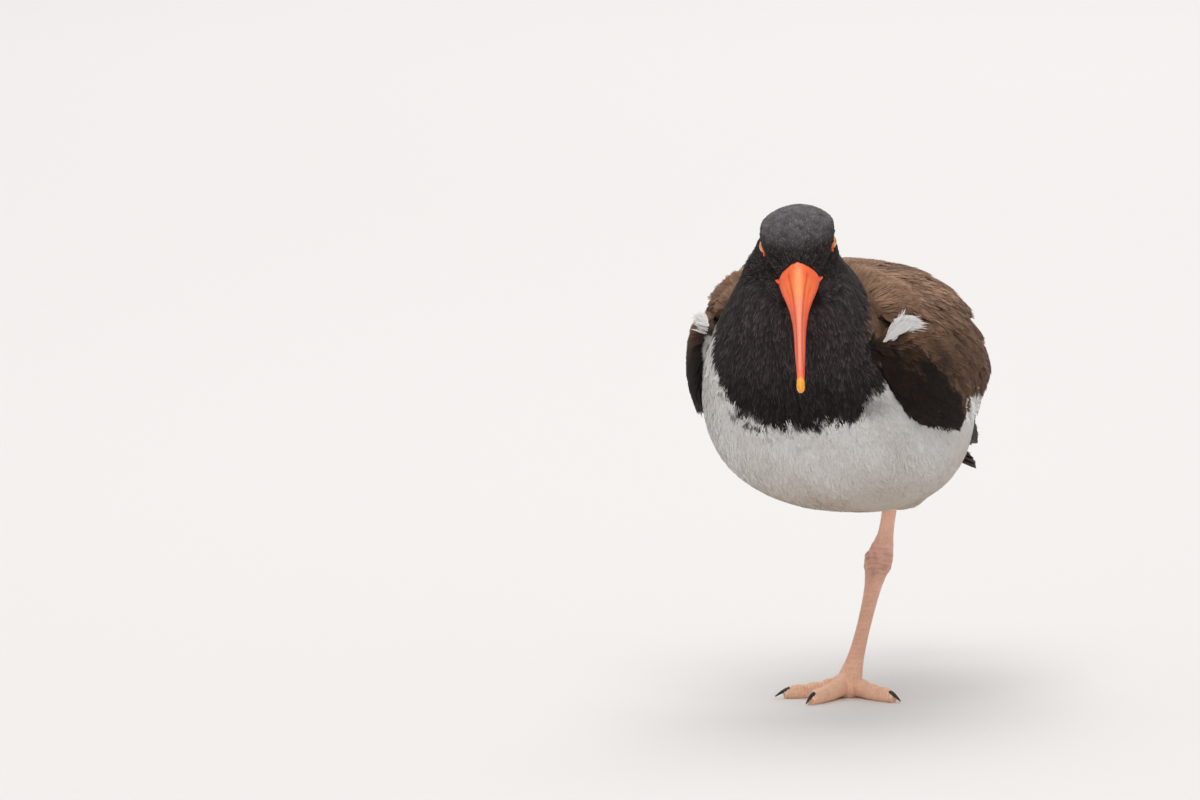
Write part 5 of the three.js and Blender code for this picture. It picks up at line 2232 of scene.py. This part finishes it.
@dataclass
class Mantle:
    """The saddle of back feathers and the scapulars over the top of each wing."""

    front: float = -54.0
    back: float = 88.0
    lower: Curve = Curve((-54, -40, -20, 20, 60, 88), (40, 34, 36, 46, 60, 80))
    height: Curve = Curve((-54, -40, -15, 20, 60, 88), (3.8, 5.2, 4, 3.2, 2, 1))
    sink: float = 2.0
    small: Plume = Plume(1.6, 10.5, 5.2, 1.5, 7, 70, 2.0, turn=0.12)
    small_back: float = 70.0
    barbs: Plume = Plume(1.0, 9.0, 2.8, 0.35, 4, 300, 1.6, turn=0.1)
    barbs_each: int = 110
    tiers: tuple[Tier, ...] = (
        Tier(
            ((-44, 54), (-26, 58), (-4, 64), (16, 70)),
            ((-22, 26), (4, 29), (36, 38), (64, 56)),
            10, (14, 15), (-0.2, -0.2), (2.7, 1.3), 0.18,
        ),
        Tier(
            ((-38, 68), (-18, 72), (6, 76), (24, 80)),
            ((-16, 38), (8, 42), (38, 52), (76, 68)),
            10, (15, 16), (0.4, 0.2), (3.1, 1.6), 0.2,
        ),
        Tier(
            ((-30, 84), (-10, 86), (12, 87), (30, 88)),
            ((-8, 58), (16, 62), (48, 72), (86, 82)),
            9, (16, 17), (0.6, 0.2), (3.1, 1.6), 0.2,
        ),
    )

    def base(self) -> bpy.types.Object:
        """Return the saddle that the feathers are rooted in."""
        u, v, edge = bed(70, 64)
        y = self.front + (self.back - self.front) * u
        angle = self.lower(y) + (180 - 2 * self.lower(y)) * v
        ahead = smooth(1.0, -3.0, y - MARKINGS.edge(angle)) * 2.0
        height = self.height(y) * edge - 1.2 * (1 - edge) - self.sink - ahead - 6 * (edge < 0.02)
        piece = sheet("mantle_base", ENVELOPE.on(Hand.LEFT, y, angle, height))
        turn_over(piece)
        # Painted shade: the saddle under the feathers is half as bright as they are.
        paint(piece, MARKINGS.wing(places(piece)) * 0.5)
        return piece

    def coat(self, base: bpy.types.Object) -> bpy.types.Object:
        """Return the small feathers over the saddle."""
        keep = lambda p: p[:, 1] < self.small_back
        roots, out = Scatter(base, SEED + 31).places(self.small.spacing, keep)
        out = np.where(out[:, 2:] < 0, -out, out)
        flush = out[:, 1] > -0.75
        roots, out = roots[flush], out[flush]
        coat = Coat("mantle_coat", SEED + 32)
        colour = MARKINGS.wing(roots + np.array([0, 3.5, 0]))
        spread = np.clip((roots[:, :1] - MIDLINE_X) / 60, -1, 1) * np.array([0.35, 0, 0])
        lie = np.array([0, 1.0, -0.25]) + spread
        tip = colour * 1.25 + Tone.TAN * 0.12 * smooth(0.03, 0.08, colour[:, 0])[:, None]
        coat.add(Growth(roots, out, lie, wing_spot(roots), colour, tip), self.small)
        return coat.make()

    def build(self, feathered: bpy.types.Material, vaned: bpy.types.Material) -> None:
        """Make and dress the saddle, its small feathers, the scapulars and their loose barbs."""
        base = self.base()
        coat = self.coat(base)
        dress(base, feathered, "back", "mantle")
        dress(coat, feathered, "back")
        vanes = Vanes("mantle_scapulars", SEED + 33)
        for hand in Hand:
            for tier in self.tiers:
                vanes.row(hand, tier)
        dress(vanes.make(), vaned, "back")
        dress(vanes.down("mantle_barbs", self.barbs, self.barbs_each), feathered, "back")


@dataclass
class Tail:
    """Six pairs of tail feathers and the coverts round their roots."""

    pairs: int = 6
    length: float = 66.0
    slope: float = 18.0
    spread: float = 10.0
    width: float = 13.0
    drop: float = 0.7
    roll: float = 46.0
    root: Point = (MIDLINE_X, 88.0, 126.0)
    core_size: Point = (15.0, 27.0, 7.5)
    core_depth: float = 1.5
    small: Plume = Plume(2.4, 13.0, 6.5, 1.2, 7, 200, 2.0)

    def __post_init__(self) -> None:
        """Work out the tail's own directions."""
        fall = math.radians(self.slope)
        self.fall = fall
        self.level = np.array([0, math.sin(fall), math.cos(fall)])
        self.behind = np.array([0, math.cos(fall), -math.sin(fall)])

    def feather(self, vanes: Vanes, hand: Hand, number: int) -> None:
        """Add one feather.

        Args:
            vanes: The feathers so far.
            hand: Its side.
            number: Its place, counted from the middle.
        """
        share, side = number / (self.pairs - 1), hand.value
        turn = math.radians(side * (0.5 + number * self.spread / (self.pairs - 1)))
        along = math.cos(turn) * self.behind + np.array([math.sin(turn), 0, 0])
        aside = unit(np.cross(along, self.level))
        roll = math.radians(self.roll) * share * side
        over = self.level * math.cos(roll) + aside * math.sin(roll)
        aside = aside * math.cos(roll) - self.level * math.sin(roll)
        down = -self.drop * (number + (0.5 if hand is Hand.RIGHT else 0)) - 0.3
        start = np.array(self.root) + self.level * down + aside * side * (1.5 + number * 1.1)
        vanes.straight(start, (along, aside, over), self.length - 1.1 * number, self.width)

    def feathers(self) -> bpy.types.Object:
        """Return the long feathers."""
        vanes = Vanes("tail_vanes", SEED + 40)
        for hand in Hand:
            for number in range(self.pairs):
                self.feather(vanes, hand, number)
        return vanes.make()

    def coverts(self) -> tuple[bpy.types.Object, bpy.types.Object]:
        """Return the core under the coverts and the white coverts themselves."""
        centre = np.array(self.root) + (14 * self.behind - np.array([0, 0, 1.6]))
        ball(48, 32)
        core = named("tail_core")
        core.scale = np.array(self.core_size) - self.core_depth
        core.rotation_euler = (-self.fall, 0, 0)
        core.location = (centre + BODY_AT) * MM
        settle(core)
        bpy.ops.object.shade_smooth()
        # Painted shade: the core under the coverts is a darker white.
        paint(core, np.broadcast_to(Tone.WHITE * 0.6, (len(core.data.vertices), 3)))
        roots, out = Scatter(core, SEED + 41).places(self.small.spacing, lambda p: p[:, 1] < 112)
        coat = Coat("tail_coverts", SEED + 42)
        lie = np.broadcast_to(self.behind, roots.shape)
        white = mix(Tone.WHITE, Tone.CREAM, 0.2 + 0 * roots[:, 0])
        x, y, z = (roots - centre).T
        round_ = np.arctan2(z, x) / math.tau * 0.98 + 0.5
        spot = np.stack([round_, np.clip(y / 64 + 0.5, 0.01, 0.99)], -1)
        coat.add(Growth(roots, out, lie, spot, white, white * 1.05), self.small)
        return core, coat.make()

    def build(self, feathered: bpy.types.Material, vaned: bpy.types.Material) -> None:
        """Make and dress the long feathers and the coverts."""
        dress(self.feathers(), vaned, "flight", "tail")
        for piece in self.coverts():
            dress(piece, feathered, "belly")


@dataclass
class Tufts:
    """Loose white feathers that stick out at the bend of each wing."""

    kind: Plume = Plume(1.0, 13.5, 3.6, 1.7, 10, 120, 2.0, 0.3, 0.17)
    left_line: tuple[tuple[float, float], ...] = ((-67, 13), (-63.5, 18), (-59, 24), (-53, 29.5))
    left_count: int = 70
    right_line: tuple[tuple[float, float], ...] = (
        (-71, 17), (-70.5, 20), (-69.5, 23), (-67.5, 25.5)
    )
    right_count: int = 44
    right_scale: float = 0.66

    def tuft(self, coat: Coat, rng: np.random.Generator, hand: Hand) -> None:
        """Grow the tuft of one side.

        Args:
            coat: The piece that it joins.
            rng: The random numbers.
            hand: The side.
        """
        left = hand is Hand.LEFT
        line = self.left_line if left else self.right_line
        count = self.left_count if left else self.right_count
        f = rng.random(count) ** 0.8
        knots = np.linspace(0, 1, len(line))
        y = np.interp(f, knots, [p[0] for p in line]) + rng.normal(0, 0.8, count)
        angle = np.interp(f, knots, [p[1] for p in line]) + rng.normal(0, 1.2, count)
        roots = ENVELOPE.on(hand, y, angle, 1.2 + 0.8 * rng.random(count))
        here = ENVELOPE.on(hand, y, angle, 1.5)
        ahead = ENVELOPE.on(hand, y + 1, angle, 1.5) - here
        out = unit(np.cross(ahead, ENVELOPE.on(hand, y, angle + 1, 1.5) - here))
        out = out * np.sign(out[:, :1]) * hand.value
        climb = np.interp(f, (0, 0.4, 0.6, 1), (0.9, 0.7, 0.3, -0.15)) + rng.normal(0, 0.07, count)
        lie = unit(ahead) + climb[:, None] * np.array([0, 0, 1.0])
        scale = np.interp(f, (0, 0.45, 1), (0.5, 0.65, 1.0))
        if not left:
            lie = np.array([-0.9, 0.4, 0.0]) + np.stack([0 * f, 0 * f, f * 0.8 - 0.3], -1)
            out, scale = np.array([0, -0.6, 0.8]) + 0 * out, scale * self.right_scale
        white = Tone.WHITE * rng.uniform(1.0, 1.2, (count, 1))
        coat.add(Growth(roots, out, lie, wing_spot(roots), white, white * 1.06), self.kind, scale)

    def build(self, feathered: bpy.types.Material) -> None:
        """Make and dress the tufts of both sides as one piece."""
        rng = np.random.default_rng(SEED + 50)
        coat = Coat("wing_bend_tufts", SEED + 51, 0.25)
        for hand in Hand:
            self.tuft(coat, rng, hand)
        dress(coat.make(), feathered, "belly")


@dataclass(frozen=True)
class Lamp:
    """A soft square lamp, aimed at the bird if no place is given."""

    name: str
    where: Point
    power: float
    size: float
    colour: Point
    at: Point = (0.0, 0.0, 0.13)

    def build(self) -> None:
        """Add the lamp."""
        deselect()
        bpy.ops.object.light_add(type="AREA", location=self.where)
        lamp = bpy.context.object
        lamp.name = f"lamp_{self.name}"
        lamp.data.energy, lamp.data.size, lamp.data.color = self.power, self.size, self.colour
        aim = Vector(self.at) - Vector(self.where)
        lamp.rotation_euler = aim.to_track_quat("-Z", "Y").to_euler()


@dataclass
class Studio:
    """The camera, the floor and the light."""

    azimuth: float = 22.0
    elevation: float = 6.0
    distance: float = 6400.0
    lens: float = 400.0
    sensor: float = 36.0
    aim: tuple[float, float] = (-119.0, 142.1)
    floor_size: float = 16.0
    floor_tone: tuple[float, ...] = (0.76, 0.75, 0.742, 1)
    sky_tone: tuple[float, ...] = (0.90, 0.885, 0.88, 1)
    sky_power: float = 0.55
    lamps: tuple[Lamp, ...] = (
        Lamp("key", (0.5, -1.8, 2.6), 34.0, 1.8, (1.0, 0.985, 0.965)),
        Lamp("top", (-0.4, 0.7, 3.0), 36.0, 2.4, (1.0, 0.99, 0.98)),
        Lamp("far", (-1.4, 4.4, 3.8), 125.0, 4.0, (1.0, 0.99, 0.98), (-1.6, 4.6, 0.0)),
    )

    def camera(self) -> None:
        """Add the camera at the photograph's angle."""
        a, e = math.radians(self.azimuth), math.radians(self.elevation)
        right = np.array([math.cos(a), math.sin(a), 0])
        up = np.array([-math.sin(a) * math.sin(e), math.cos(a) * math.sin(e), math.cos(e)])
        back = np.array([math.sin(a) * math.cos(e), -math.cos(a) * math.cos(e), math.sin(e)])
        deselect()
        where = self.aim[0] * right + self.aim[1] * up + back * self.distance
        bpy.ops.object.camera_add(location=where * MM)
        camera = bpy.context.object
        camera.rotation_euler = Vector(-back).to_track_quat("-Z", "Y").to_euler()
        camera.data.lens, camera.data.sensor_width = self.lens, self.sensor
        camera.data.clip_end = 100.0
        bpy.context.scene.camera = camera

    def build(self) -> None:
        """Make the camera, the pale floor and the soft light."""
        self.camera()
        bpy.ops.mesh.primitive_plane_add(size=self.floor_size)
        floor = named("studio_floor")
        pale = Shader("floor pale")
        finish = pale.made(Base_Color=self.floor_tone, Roughness=0.9, Specular_IOR_Level=0.1)
        floor.data.materials.append(finish)
        floor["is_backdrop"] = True
        for lamp in self.lamps:
            lamp.build()
        world = bpy.data.worlds.new("studio")
        bpy.context.scene.world = world
        world.use_nodes = True
        sky = world.node_tree.nodes["Background"]
        sky.inputs[0].default_value, sky.inputs[1].default_value = self.sky_tone, self.sky_power
        bpy.context.scene.view_settings.view_transform = "Standard"


def main() -> None:
    """Build the bird piece by piece, then the studio."""
    logging.basicConfig(level=logging.INFO, format="%(message)s")
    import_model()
    solid_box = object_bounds()
    feathered = Feathered("feathers soft").make()
    vaned = Vaned("feathers long").make()
    horn = Horn("bill horn", 0.4, 0.2, 0.3).make()
    claw = Horn("claw horn", 0.4, 0.2, 0.5).make()
    lid = Horn("eyelid skin", 0.55, 0.0, 0.6).make()
    bare = BareSkin("leg skin").make()
    iris = Iris("eye wet").make()

    Body().build(feathered)
    for hand in Hand:
        Wing(hand).build(feathered, vaned)
        Eye(hand).build(iris, lid)
    Mantle().build(feathered, vaned)
    Tail().build(feathered, vaned)
    Tufts().build(feathered)
    Bill().build(horn)
    Leg().build(bare, claw)
    Studio().build()
    deselect()
    boxes = {"cad": solid_box, "visual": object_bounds()}
    {key: [list(corner) for corner in box] for key, box in boxes.items()}


if __name__ == "__main__":
    main()
